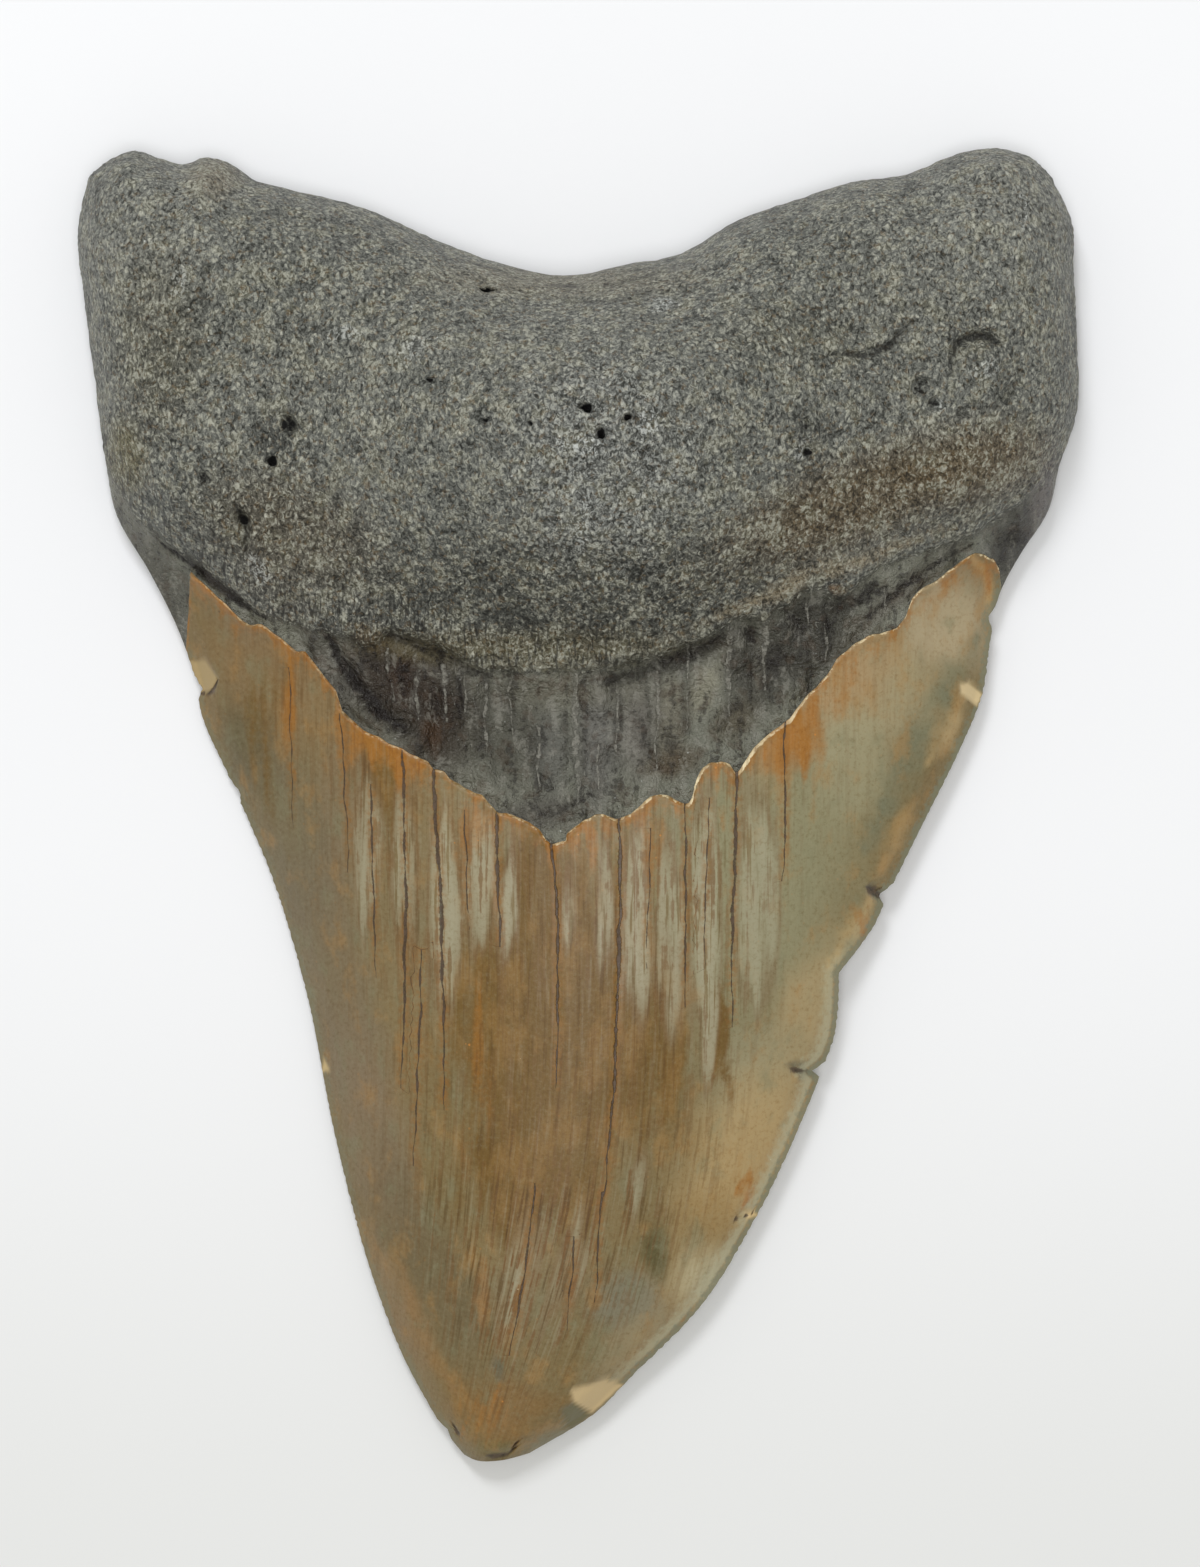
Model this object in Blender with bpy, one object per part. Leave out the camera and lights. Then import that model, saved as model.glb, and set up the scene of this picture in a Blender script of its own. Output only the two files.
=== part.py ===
"""Megalodon tooth, a fossil that lies on its flat labial face with the lingual face up.

The tooth grew as one piece, so it is one solid: the two-lobed root, the smooth dental band under it and
the enamel crown. The form is a slab of small grid cells, finer where a ledge or a hole crosses it. Each
cell corner is placed inside the tooth's outline by a Coons patch, and is then raised to the lingual face
or lowered to the labial one. A Decimate modifier takes away the triangles that the shape can spare.

Frame: +Y runs from the crown's tip to the root, +X across the tooth, +Z out of the lingual face.
The origin is under the middle of the tooth, on the surface that it lies on. Lengths are in millimetres.
"""

import math

import bmesh
import bpy
import numpy as np
from mathutils import Vector, noise
from mathutils.kdtree import KDTree

MM = 0.001  # a millimetre in Blender's metres

# Driving dimensions
ROOT_THICKNESS = 27.0  # at the swelling in the middle of the lingual face
LOBE_THICKNESS = 15.5
CROWN_THICKNESS = 14.0  # where the enamel begins, in the middle
TIP_THICKNESS = 4.0
EDGE_THICKNESS = 0.5  # of the worn cutting edge
ENAMEL_STEP = 0.6  # how far the enamel stands above the dental band
ROOT_STEP = 1.0  # how far the root's rough margin stands above the dental band

# Outline seen from above: the two flanks as (y, x), the crest of the root and the crown's tip as (x, y)
LEFT_FLANK = [
    (-65.1, -10.8), (-62.6, -12.8), (-58.6, -15.3), (-54.6, -17.4), (-44.6, -21.1), (-32.6, -24.2),
    (-18.6, -27.0), (-6.6, -30.6), (3.4, -34.9), (9.4, -37.5), (13.4, -38.3), (17.4, -39.6), (23.4, -42.5),
    (29.4, -45.9), (33.9, -46.8), (41.4, -47.8), (50.9, -49.0), (57.7, -49.6), (62.9, -48.5),
]
RIGHT_FLANK = [
    (-64.6, -5.1), (-60.6, 1.2), (-56.6, 5.3), (-50.6, 11.3), (-40.6, 17.8), (-30.6, 22.5), (-24.6, 24.9),
    (-10.6, 30.0), (-2.6, 33.8), (5.4, 37.8), (11.4, 40.3), (17.4, 41.2), (21.4, 42.0), (25.4, 44.1),
    (29.4, 46.7), (34.4, 48.0), (38.4, 49.4), (48.0, 49.6), (53.4, 49.3), (58.4, 49.1), (62.9, 47.0),
]
CREST = [
    (-48.5, 62.9), (-46.7, 64.3), (-44.0, 65.4), (-41.4, 64.6), (-39.0, 64.1), (-36.8, 64.7), (-34.7, 64.2),
    (-32.2, 62.6), (-28.2, 61.5), (-21.2, 59.7), (-13.2, 56.2), (-7.2, 54.1), (-1.2, 53.0), (4.8, 54.1),
    (10.8, 55.4), (14.8, 57.9), (22.8, 60.9), (26.8, 62.2), (32.8, 63.1), (38.8, 65.4), (42.8, 65.5),
    (45.4, 64.5), (47.0, 62.9),
]
TIP = [(-10.8, -65.1), (-9.3, -65.7), (-7.5, -65.5), (-5.1, -64.6)]

# Bites broken out of the cutting edges: height up the tooth, depth, reach towards the root and the tip
RIGHT_BITES = [(-16.2, 1.9, 5.0, 7.0), (-8.6, 1.1, 1.4, 0.9), (-26.0, 1.1, 1.0, 0.7), (19.0, 0.7, 1.5, 1.2)]
LEFT_BITES = [(12.0, 0.6, 1.6, 1.2), (1.6, 0.5, 1.5, 1.0), (-62.0, 0.5, 1.2, 0.9)]

# Height of the rim, the tooth's widest line, above the surface that it lies on, as (y, height)
LEFT_RIM = [(-65, 1.2), (-52, 1.2), (-20, 1.1), (12, 1.1), (30, 2.4), (65, 3.2)]
RIGHT_RIM = [(-65, 1.6), (-55, 2.8), (-32, 3.0), (-10, 3.2), (12, 2.9), (32, 2.6), (65, 3.0)]

# Where one surface gives way to the next, as (x, y)
ENAMEL_LEDGE = [
    (-39.0, 15.0), (-38.0, 23.5), (-33.2, 18.6), (-29.8, 17.6), (-26.3, 15.0), (-23.2, 9.6), (-17.5, 6.0),
    (-12.8, 3.7), (-7.7, -0.2), (-3.6, -2.0), (-2.2, -3.4), (-0.3, -1.8), (3.8, -0.5), (8.0, 1.5),
    (11.5, 0.8), (13.8, 4.7), (15.6, 3.5), (20.8, 9.4), (25.4, 14.4), (31.4, 18.0), (33.2, 21.2),
    (39.2, 25.4), (41.7, 24.0), (42.2, 20.6),
]
ENAMEL_ARCH = [(-42, 25), (-33, 18), (-20, 7), (-2, -2.5), (14, 3.5), (30, 16), (42, 24)]  # its run, eased
ROOT_MARGIN = [
    (-50.0, 37.0), (-40.0, 25.5), (-33.0, 20.5), (-25.0, 17.2), (-14.0, 14.6), (0.0, 13.4), (12.0, 15.6),
    (22.0, 20.6), (32.0, 26.0), (42.0, 30.0), (50.0, 35.0),
]
LABIAL_LEDGE = [(-41, 21), (-28, 27), (-12, 25.5), (0, 23), (13, 26), (30, 28.5), (43, 22.5)]

# Heights along the middle of the crown and along the lobes, as (y, height)
CROWN_RIDGE = [(-66, TIP_THICKNESS), (-56, 6.6), (-42, 9.4), (-22, 12.2), (0, CROWN_THICKNESS), (30, 16)]
LOBE_HEIGHT = [(10, 9.0), (22, 11.0), (34, 13.8), (48, LOBE_THICKNESS), (66, 15.0)]
SWELLING_AT = (1.5, 35.0)
SWELLING_REACH = (25.0, 19.0, 17.0)  # sideways, towards the tip, towards the crest
SWELLING_FLATNESS = 1.25  # of its top, where 1 is a bell
ROOT_ROUNDING = (11.0, 16.0)  # width of the lingual root's rounded border: on the lobes, on the swelling
ROOT_BORDER_FULLNESS = 1.8
LABIAL_ROOT_ROUNDING = 4.5
LABIAL_CROWN_CURL = 13.0  # width of the band where the labial crown curls up to the cutting edge
TIP_ROUNDING = 2.5

# Holes for vessels, and dents: x, y, radius, depth
PITS = [
    (1.0, 38.5, 0.75, 2.2), (2.3, 35.9, 0.8, 2.4), (5.0, 37.6, 0.75, 1.8), (-8.7, 50.6, 0.6, 1.6),
    (-14.0, 41.1, 0.5, 1.0), (-29.4, 33.9, 0.8, 1.5), (-28.0, 37.4, 1.0, 0.8), (22.2, 34.4, 0.6, 1.2),
    (39.4, 45.6, 1.6, 1.0), (33.8, 41.6, 1.1, 0.9), (-32.6, 28.4, 1.0, 0.9), (-42.2, 50.9, 2.2, 0.8),
]
CREASE = [(25.0, 42.0), (29.0, 44.1), (32.5, 47.5)]  # middle line of a shallow groove on the right lobe
CREASE_DEPTH = 0.8
CREASE_WIDTH = 1.7

COLUMNS, ROWS = 116, 150
RIM_CROWDING = 1.35  # up to 1.57: how much the cells narrow towards the rim
SOLID_TRIANGLES = 9400
LUMP_SIZE, LUMP_HEIGHT = 9.0, 0.5  # of the root's uneven surface
GRAIN_SIZE, GRAIN_HEIGHT = 3.0, 0.16
OUTLINE_STEPS = 500  # places along each side of the outline that distances are taken to


def smooth_curve(at, points):
    """Value at each place on a smooth line through (place, value) points."""
    knots, values = np.array(points, float).T
    slopes = np.gradient(values, knots)
    at = np.clip(at, knots[0], knots[-1])
    right = np.clip(np.searchsorted(knots, at), 1, len(knots) - 1)
    left = right - 1
    span = knots[right] - knots[left]
    t = (at - knots[left]) / span
    return (
        values[left] * (1 + 2 * t) * (1 - t) ** 2
        + values[right] * t**2 * (3 - 2 * t)
        + span * t * (1 - t) * (slopes[left] * (1 - t) - slopes[right] * t)
    )


def straight_line(at, points):
    """Value at each place on straight runs between (place, value) points, as a broken edge has them."""
    places, values = np.array(points, float).T
    return np.interp(at, places, values)


def ramp(low, high, value):
    """0 below low, 1 above high, and smooth between."""
    t = np.clip((value - low) / (high - low), 0, 1)
    return t * t * (3 - 2 * t)


def mixed(first, second, share):
    return first + (second - first) * share


def bitten(y, bites):
    """How far the cutting edge is broken back at each height up the tooth."""
    depth = np.zeros_like(y)
    for at, deep, above, below in bites:
        away = np.where(y > at, (y - at) / above, (at - y) / below)
        depth = np.maximum(depth, deep * np.clip(1 - away, 0, 1) ** 1.4)
    return depth


def outline_point(u, v, whole=False):
    """Place in plan of a point u of the way across the tooth and v of the way from its tip to its crest."""
    left_y = mixed(LEFT_FLANK[0][0], LEFT_FLANK[-1][0], v)
    right_y = mixed(RIGHT_FLANK[0][0], RIGHT_FLANK[-1][0], v)
    left_x = smooth_curve(left_y, LEFT_FLANK)
    right_x = smooth_curve(right_y, RIGHT_FLANK)
    if not whole:
        left_x = left_x + bitten(left_y, LEFT_BITES)
        right_x = right_x - bitten(right_y, RIGHT_BITES)
    tip_x = mixed(TIP[0][0], TIP[-1][0], u)
    crest_x = mixed(CREST[0][0], CREST[-1][0], u)

    def patch(left, right, tip, crest, corners):
        tip_left, tip_right, crest_left, crest_right = corners
        bilinear = mixed(mixed(tip_left, tip_right, u), mixed(crest_left, crest_right, u), v)
        return mixed(left, right, u) + mixed(tip, crest, v) - bilinear

    ends = TIP[0], TIP[-1], CREST[0], CREST[-1]
    tip_y = smooth_curve(tip_x, TIP)
    crest_y = smooth_curve(crest_x, CREST)
    x = patch(left_x, right_x, tip_x, crest_x, [end[0] for end in ends])
    y = patch(left_y, right_y, tip_y, crest_y, [end[1] for end in ends])
    return x, y


def distance_to_side(x, y, side_u, side_v):
    """Distance in plan of each point from one side of the unbroken outline."""
    side = np.column_stack(outline_point(side_u, side_v, whole=True))
    tree = KDTree(len(side))
    for index, (side_x, side_y) in enumerate(side):
        tree.insert((side_x, side_y, 0), index)
    tree.balance()
    return np.array([tree.find((px, py, 0))[2] for px, py in zip(x, y)])


def distances_inward(x, y):
    """Distance from the nearest part of the outline, with its corners eased, and from the tip alone."""
    along = np.linspace(0, 1, OUTLINE_STEPS)
    low, high = np.zeros_like(along), np.ones_like(along)
    left = distance_to_side(x, y, low, along)
    right = distance_to_side(x, y, high, along)
    crest = distance_to_side(x, y, along, high)
    tip = distance_to_side(x, y, along, low)
    nearest = np.array([left, right, crest, tip]) + 1e-6
    return (nearest**-4.0).sum(axis=0) ** -0.25, tip


def rough(x, y, size, seed):
    """Smooth noise from -1 to 1 whose bumps are about size apart."""
    return np.array([noise.noise(Vector((px / size, py / size, seed))) for px, py in zip(x, y)])


def round_border(distance, width, fullness=2.0):
    """0 at the rim and 1 from width inwards, along a quarter circle, or a leaner curve at less than 2."""
    t = np.clip(distance / width, 0, 1)
    return (1 - (1 - t) ** fullness) ** (1 / fullness)


def lens(x, y):
    """1 along the middle of the crown and 0 at its cutting edges, and the crown's width."""
    left, right = smooth_curve(y, LEFT_FLANK), smooth_curve(y, RIGHT_FLANK)
    across = np.clip((2 * x - left - right) / (right - left), -1, 1)
    return 1 - across**2, right - left


def root_top(x, y, rim, inward):
    """The lingual face of the root: two lobes with a swelling between them."""
    sideways, tipward, crestward = SWELLING_REACH
    off_x, off_y = x - SWELLING_AT[0], y - SWELLING_AT[1]
    reach = np.where(off_y < 0, tipward, crestward)
    away = (off_x / sideways) ** 2 + (off_y / reach) ** 2
    swelling = np.exp(-(away**SWELLING_FLATNESS))
    full = smooth_curve(y, LOBE_HEIGHT) + (ROOT_THICKNESS - LOBE_THICKNESS + 1.0) * swelling
    rounding = mixed(*ROOT_ROUNDING, swelling)
    return rim + (full - rim) * round_border(inward, rounding, ROOT_BORDER_FULLNESS)


def pits(x, y):
    """Depth of the vessel holes and dents at each point."""
    depth = np.zeros_like(x)
    for pit_x, pit_y, radius, deep in PITS:
        away = np.hypot(x - pit_x, y - pit_y) / radius
        depth = np.maximum(depth, deep * (1 - ramp(0.5, 1.3, away)))
    return depth


def crease(x, y):
    """Depth of the groove on the right lobe."""
    across = np.abs(y - smooth_curve(x, CREASE))
    start, end = CREASE[0][0], CREASE[-1][0]
    along = ramp(start - 2, start + 2, x) * (1 - ramp(end - 2, end + 2, x))
    return CREASE_DEPTH * along * (1 - ramp(0, CREASE_WIDTH, across))


def lingual_height(x, y, rim, inward, from_tip):
    ledge = straight_line(x, ENAMEL_LEDGE)
    margin = smooth_curve(x, ROOT_MARGIN)
    fullness, _ = lens(x, y)
    crown = rim + (smooth_curve(y, CROWN_RIDGE) - rim) * fullness * round_border(from_tip + 0.6, TIP_ROUNDING)
    rootness = ramp(smooth_curve(x, ENAMEL_ARCH) - 3, margin + 6, y)
    height = mixed(crown, root_top(x, y, rim, inward), rootness)
    from_edge = ramp(0, 2.5, inward)
    height += ENAMEL_STEP * from_edge * (1 - ramp(ledge - 0.3, ledge + 0.3, y))
    on_root = ramp(margin - 0.8, margin + 0.8, y)
    height += ROOT_STEP * from_edge * on_root
    lumps = LUMP_HEIGHT * rough(x, y, LUMP_SIZE, 3.1) + GRAIN_HEIGHT * rough(x, y, GRAIN_SIZE, 8.4)
    height += lumps * on_root * ramp(0, 4, inward)
    return height - pits(x, y) - crease(x, y)


def labial_height(x, y, rim, inward, from_tip):
    """The face that the tooth lies on: flat in the middle, curling up to the rim."""
    fullness, width = lens(x, y)
    into_crown = np.minimum(fullness * width / 4, mixed(from_tip, LABIAL_CROWN_CURL, 0.4))
    crown_curl = np.clip(1 - into_crown / LABIAL_CROWN_CURL, 0, 1) ** 2
    root_curl = 1 - round_border(inward, LABIAL_ROOT_ROUNDING)
    ledge = smooth_curve(x, LABIAL_LEDGE)
    return rim * mixed(crown_curl, root_curl, ramp(ledge - 9, ledge + 9, y))


def crowded(share):
    """Moves places from -1 to 1 outwards, so that cells are narrower by the rim."""
    return math.sin(RIM_CROWDING * share) / math.sin(RIM_CROWDING)


def slab():
    """A flat grid with a thickness: u runs along X and v along Y from 0 to 1, and Z tells its two faces."""
    mesh = bmesh.new()
    bmesh.ops.create_grid(mesh, x_segments=COLUMNS, y_segments=ROWS, size=0.5)
    for vert in mesh.verts:
        vert.co.x = 0.5 + 0.5 * crowded(2 * vert.co.x)
        vert.co.y = crowded(vert.co.y + 0.5)
    bmesh.ops.solidify(mesh, geom=mesh.faces[:], thickness=1.0)
    return mesh


def plan_of(mesh):
    """Each slab point's place in plan, and whether it is on the lingual face."""
    flat = np.array([vert.co for vert in mesh.verts])
    x, y = outline_point(flat[:, 0], flat[:, 1])
    return x, y, flat[:, 2] > flat[:, 2].mean()


def refine(mesh, wanted):
    """Halves the cells whose corners are all wanted, a true or false for each point."""
    edges = [edge for edge in mesh.edges if all(wanted[vert.index] for vert in edge.verts)]
    bmesh.ops.subdivide_edges(mesh, edges=edges, cuts=1, use_grid_fill=True)
    mesh.verts.index_update()


def refine_details(mesh):
    """Makes the cells finer along the enamel's ledge and round each hole."""
    mesh.verts.index_update()
    x, y, lingual = plan_of(mesh)
    refine(mesh, lingual & (np.abs(y - straight_line(x, ENAMEL_LEDGE)) < 1.8))
    for spread in (2.2, 1.6):
        x, y, lingual = plan_of(mesh)
        near_pit = np.zeros(len(x), bool)
        for pit_x, pit_y, radius, _ in PITS:
            near_pit |= np.hypot(x - pit_x, y - pit_y) < spread * radius + 0.4
        refine(mesh, lingual & near_pit)


def shape_tooth(mesh):
    """Moves the slab's points onto the tooth."""
    x, y, lingual = plan_of(mesh)
    u = np.array([vert.co.x for vert in mesh.verts])
    inward, from_tip = distances_inward(x, y)
    rim = mixed(smooth_curve(y, LEFT_RIM), smooth_curve(y, RIGHT_RIM), u)
    upper = lingual_height(x, y, rim + EDGE_THICKNESS / 2, inward, from_tip)
    lower = labial_height(x, y, rim - EDGE_THICKNESS / 2, inward, from_tip)
    z = np.where(lingual, upper, lower)
    for vert, place in zip(mesh.verts, np.column_stack([x, y, z]) * MM):
        vert.co = place


def tooth_material():
    material = bpy.data.materials.new("fossil_tooth")
    material.use_nodes = True
    shader = material.node_tree.nodes["Principled BSDF"]
    shader.inputs["Base Color"].default_value = (0.18, 0.155, 0.105, 1)
    shader.inputs["Roughness"].default_value = 0.55
    shader.inputs["Metallic"].default_value = 0
    return material


def make_tooth(collection):
    mesh = slab()
    refine_details(mesh)
    shape_tooth(mesh)
    bmesh.ops.triangulate(mesh, faces=mesh.faces)
    bmesh.ops.recalc_face_normals(mesh, faces=mesh.faces)
    thinning = SOLID_TRIANGLES / len(mesh.faces)
    data = bpy.data.meshes.new("tooth")
    mesh.to_mesh(data)
    mesh.free()
    data.materials.append(tooth_material())
    data.shade_smooth()
    tooth = bpy.data.objects.new("tooth", data)
    collection.objects.link(tooth)
    fewer = tooth.modifiers.new("fewer_triangles", "DECIMATE")
    fewer.ratio = thinning


def main():
    for old in list(bpy.data.objects):
        bpy.data.objects.remove(old)
    collection = bpy.data.collections.new("megalodon_tooth")
    bpy.context.scene.collection.children.link(collection)
    make_tooth(collection)


main()
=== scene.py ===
"""Looks of a megalodon tooth: the weathered root, the dental band and the cracked, stained enamel.

The file is an add-on that runs as a script. The frame's one node, the tooth, is replaced by one finely
modelled piece of the same size and place. Its surface is worked out in millimetres: +X across the tooth,
+Y from the crown's tip to the root, +Z out of the lingual face, which looks up.
"""

import math

import bmesh
import bpy
import numpy as np
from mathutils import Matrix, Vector, noise
from mathutils.kdtree import KDTree


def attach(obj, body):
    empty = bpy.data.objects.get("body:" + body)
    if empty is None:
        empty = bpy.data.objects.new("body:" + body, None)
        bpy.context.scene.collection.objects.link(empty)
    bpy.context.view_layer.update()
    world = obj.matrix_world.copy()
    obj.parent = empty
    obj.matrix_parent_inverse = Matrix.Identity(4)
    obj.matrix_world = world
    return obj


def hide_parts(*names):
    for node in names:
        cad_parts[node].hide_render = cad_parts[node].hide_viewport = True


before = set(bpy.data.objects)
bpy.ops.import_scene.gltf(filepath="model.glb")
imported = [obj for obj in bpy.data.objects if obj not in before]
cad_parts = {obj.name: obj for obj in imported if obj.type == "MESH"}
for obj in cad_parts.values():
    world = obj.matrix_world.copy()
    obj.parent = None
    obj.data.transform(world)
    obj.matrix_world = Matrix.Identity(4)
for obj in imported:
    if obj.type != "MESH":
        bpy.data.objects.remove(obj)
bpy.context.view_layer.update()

bl_info = {
    "name": "Megalodon tooth",
    "version": (1, 0, 0),
    "blender": (4, 5, 0),
    "location": "View3D > Sidebar > Tooth",
    "description": "Makes a weathered fossil shark tooth and the stage that it lies on",
    "category": "Add Mesh",
}

MM = 0.001  # a millimetre in Blender's metres

# ---------------------------------------------------------------- places on the tooth, in millimetres

# Outline seen from above: the two flanks as (y, x), the crest of the root and the crown's tip as (x, y)
LEFT_FLANK = [
    (-64.4, -11.3), (-62.6, -12.8), (-58.6, -15.3), (-54.6, -17.4), (-44.6, -21.1), (-32.6, -24.2),
    (-18.6, -27), (-6.6, -30.6), (3.4, -34.9), (9.4, -37.5), (13.4, -38.3), (17.4, -39.6), (23.4, -42.5),
    (29.4, -45.9), (33.9, -46.8), (41.4, -47.8), (50.9, -49), (57.7, -49.6), (62.9, -48.5),
]
RIGHT_FLANK = [
    (-64.2, -4.8), (-60.6, 1.2), (-56.6, 5.3), (-50.6, 11.3), (-40.6, 17.8), (-30.6, 22.5), (-24.6, 24.9),
    (-10.6, 30), (-2.6, 33.8), (5.4, 37.8), (11.4, 40.3), (17.4, 41.2), (21.4, 42), (25.4, 44.1),
    (29.4, 46.7), (34.4, 48), (38.4, 49.4), (48, 49.6), (53.4, 49.3), (58.4, 49.1), (62.9, 47),
]
CREST = [
    (-48.5, 62.9), (-46.7, 64.3), (-44, 65.4), (-41.4, 64.6), (-39, 64.1), (-36.8, 64.7), (-34.7, 64.2),
    (-32.2, 62.6), (-28.2, 61.5), (-21.2, 59.7), (-13.2, 56.2), (-7.2, 54.1), (-1.2, 53), (4.8, 54.1),
    (10.8, 55.4), (14.8, 57.9), (22.8, 60.9), (26.8, 62.2), (32.8, 63.1), (38.8, 65.4), (42.8, 65.5),
    (45.4, 64.5), (47, 62.9),
]
TIP = [(-11.3, -64.4), (-10.2, -64.8), (-8, -64.8), (-4.8, -64.2)]

# Bites broken out of the cutting edges: height up the tooth, depth, reach towards the root and the tip
RIGHT_BITES = [(-16.2, 1.9, 5, 7), (-8.6, 1.1, 1.4, 0.9), (-26, 1.1, 1, 0.7), (19, 0.7, 1.5, 1.2)]
LEFT_BITES = [(12, 0.6, 1.6, 1.2), (1.6, 0.5, 1.5, 1), (-62, 0.5, 1.2, 0.9)]

# Height of the rim, the tooth's widest line, above the surface that it lies on, as (y, height)
LEFT_RIM = [(-65, 1.2), (-52, 1.2), (-20, 1.1), (12, 1.1), (30, 2.4), (65, 3.2)]
RIGHT_RIM = [(-65, 1.6), (-55, 2.8), (-32, 3), (-10, 3.2), (12, 2.9), (32, 2.6), (65, 3)]

# Where one surface gives way to the next, as (x, y)
ENAMEL_LEDGE = [
    (-39.3, 13.5), (-38.3, 23.6), (-37.1, 22.5), (-33, 18.6), (-32.4, 18.2), (-31.1, 18.3), (-30, 17.5),
    (-27.6, 15.6), (-26.7, 15.5), (-25.9, 14.5), (-24.8, 13), (-23.7, 11.7), (-23.1, 9.7), (-20.9, 7.7),
    (-19.6, 7.2), (-18.6, 6.6), (-14.6, 4.7), (-14, 3.9), (-13, 3.8), (-12.5, 3), (-10.2, 1.7),
    (-9.2, 1.4), (-7.8, -0.3), (-7, -0.3), (-4.7, -1.2), (-3.6, -2), (-3, -2.9), (-2.4, -3.4), (-1.1, -3),
    (-1, -2.3), (0.4, -1.2), (1.7, -0.5), (2.6, -0.4), (3.8, -0.9), (5.3, -0.4), (6, 0.3), (7.2, 1.3),
    (8.2, 1.5), (9.3, 1.2), (10.3, 0.6), (10.9, 0.6), (11.3, 1.2), (11.6, 2.8), (12.2, 4), (13, 4.6),
    (14, 4.7), (14.9, 4.5), (15.5, 3.7), (15.9, 3.9), (17.4, 6.2), (18.5, 7.2), (20.8, 8.9), (22.3, 10.9),
    (24.5, 13.1), (25.5, 14.8), (27.3, 16.3), (28.6, 17.1), (30.2, 17.4), (31.5, 17.9), (32.4, 19.1),
    (33, 20.8), (33.8, 21.7), (35.5, 22.6), (38, 24.6), (39.3, 25.3), (40.2, 25.2), (41.2, 24.8),
    (41.9, 23.9), (42.4, 20.6),
]
ENAMEL_ARCH = [(-42, 25), (-33, 18), (-20, 7), (-2, -2.5), (14, 3.5), (30, 16), (42, 24)]
ROOT_MARGIN = [
    (-50, 38), (-46.6, 33.6), (-43.4, 28.6), (-39.8, 25.9), (-37.2, 24.2), (-33.6, 21.2), (-31.6, 19.6),
    (-29.7, 18.8), (-25.5, 17.6), (-22.5, 17), (-20.6, 16), (-19.4, 16.4), (-18.2, 17.6), (-16, 16.8),
    (-13.2, 16), (-11, 14.6), (-9.7, 13.9), (-4, 13.6), (2, 13.8), (6.5, 14.6), (10.8, 16.1),
    (15.1, 18.4), (17.4, 19), (18.4, 18.2), (19.2, 19.4), (20.4, 19.8), (22, 21.2), (24, 21.6),
    (25.4, 20.6), (26.6, 21.2), (27.9, 22.4), (29.5, 23.8), (32.6, 24.8), (38.9, 27), (44, 30.4),
    (50, 36),
]
ROOT_SLOPE = [
    (-50, 37), (-40, 25.5), (-33, 20.5), (-25, 17.2), (-14, 14.6), (0, 13.4), (12, 15.6), (22, 20.6),
    (32, 26), (42, 30), (50, 35),
]
LABIAL_LEDGE = [(-41, 21), (-28, 27), (-12, 25.5), (0, 23), (13, 26), (30, 28.5), (43, 22.5)]

SWELLING_AT = (1.5, 35.0)
SWELLING_REACH = (25.0, 19.0, 17.0)  # sideways, towards the tip, towards the crest

# Holes for vessels, and dents: x, y, radius, depth
PITS = [
    (1, 38.5, 0.5, 2), (2.3, 35.9, 0.55, 2.2), (4.8, 37.6, 0.45, 1.6), (-8.7, 50.6, 0.36, 1.4),
    (-14.3, 41.3, 0.3, 0.9), (-8.5, 37.3, 0.3, 0.9), (-4.3, 37, 0.3, 0.9), (-29.6, 33.9, 0.5, 1.4),
    (-28, 37.4, 1, 0.8), (22.2, 34.6, 0.6, 0.55), (22, 37.1, 0.6, 0.4), (33.5, 41.2, 1.1, 0.7),
    (34.6, 39.4, 0.7, 0.5), (-32.6, 28.4, 0.6, 0.6), (-42.2, 50.9, 2, 0.6), (-35.9, 52.6, 0.6, 0.4),
    (-36.3, 32.4, 0.6, 0.45), (41.6, 40.4, 0.9, 0.4), (10.6, 49.6, 1.4, 0.4), (-20.6, 48.4, 1.2, 0.35),
]
BOSSES = [(39.8, 43.2, 2.4, 0.9), (35.3, 39.9, 0.9, 0.5), (-31, 26.8, 2, 0.6), (-20.2, 16.8, 1.4, 0.5)]

# Furrows of the root and of the dental band, which the material also darkens with painted shade: points of
# the middle line, half width, depth
ROOT_FURROWS = [
    ([(32.7, 47.6), (29.2, 44.4), (24.4, 44.1)], 0.8, 0.7), ([(26, 46), (31, 49)], 3.5, 0.5),
    ([(36.2, 42.8), (37, 45.3), (39.2, 46.1), (41.4, 45.4)], 0.9, 1),
    ([(43.2, 43), (42.2, 40.4), (39.5, 38.4)], 1, 0.3),
    ([(-33.4, 29.8), (-32.3, 27.8), (-32.4, 25.2)], 0.8, 1),
    ([(-28.6, 38.4), (-27.4, 37.2), (-27.9, 36.2)], 0.7, 0.6),
    ([(-9.4, 53.2), (-3.7, 51.7), (2.2, 51.2), (8.2, 52.7), (12.2, 54.4)], 0.6, 0.35),
    ([(-6, 50.8), (1, 49.4), (9, 50.4)], 0.7, 0.3), ([(-12, 54.2), (-5, 52.4)], 0.4, 0.25),
    ([(-36.4, 53.4), (-36.2, 50), (-36, 47)], 0.8, 0.35), ([(-40.6, 44.6), (-38.6, 42.6)], 1.2, 0.35),
    ([(22.2, 37.2), (21.9, 35), (22.6, 33.6)], 0.8, 0.3), ([(43.6, 60.5), (43.7, 57)], 0.4, 0.2),
]
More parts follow.
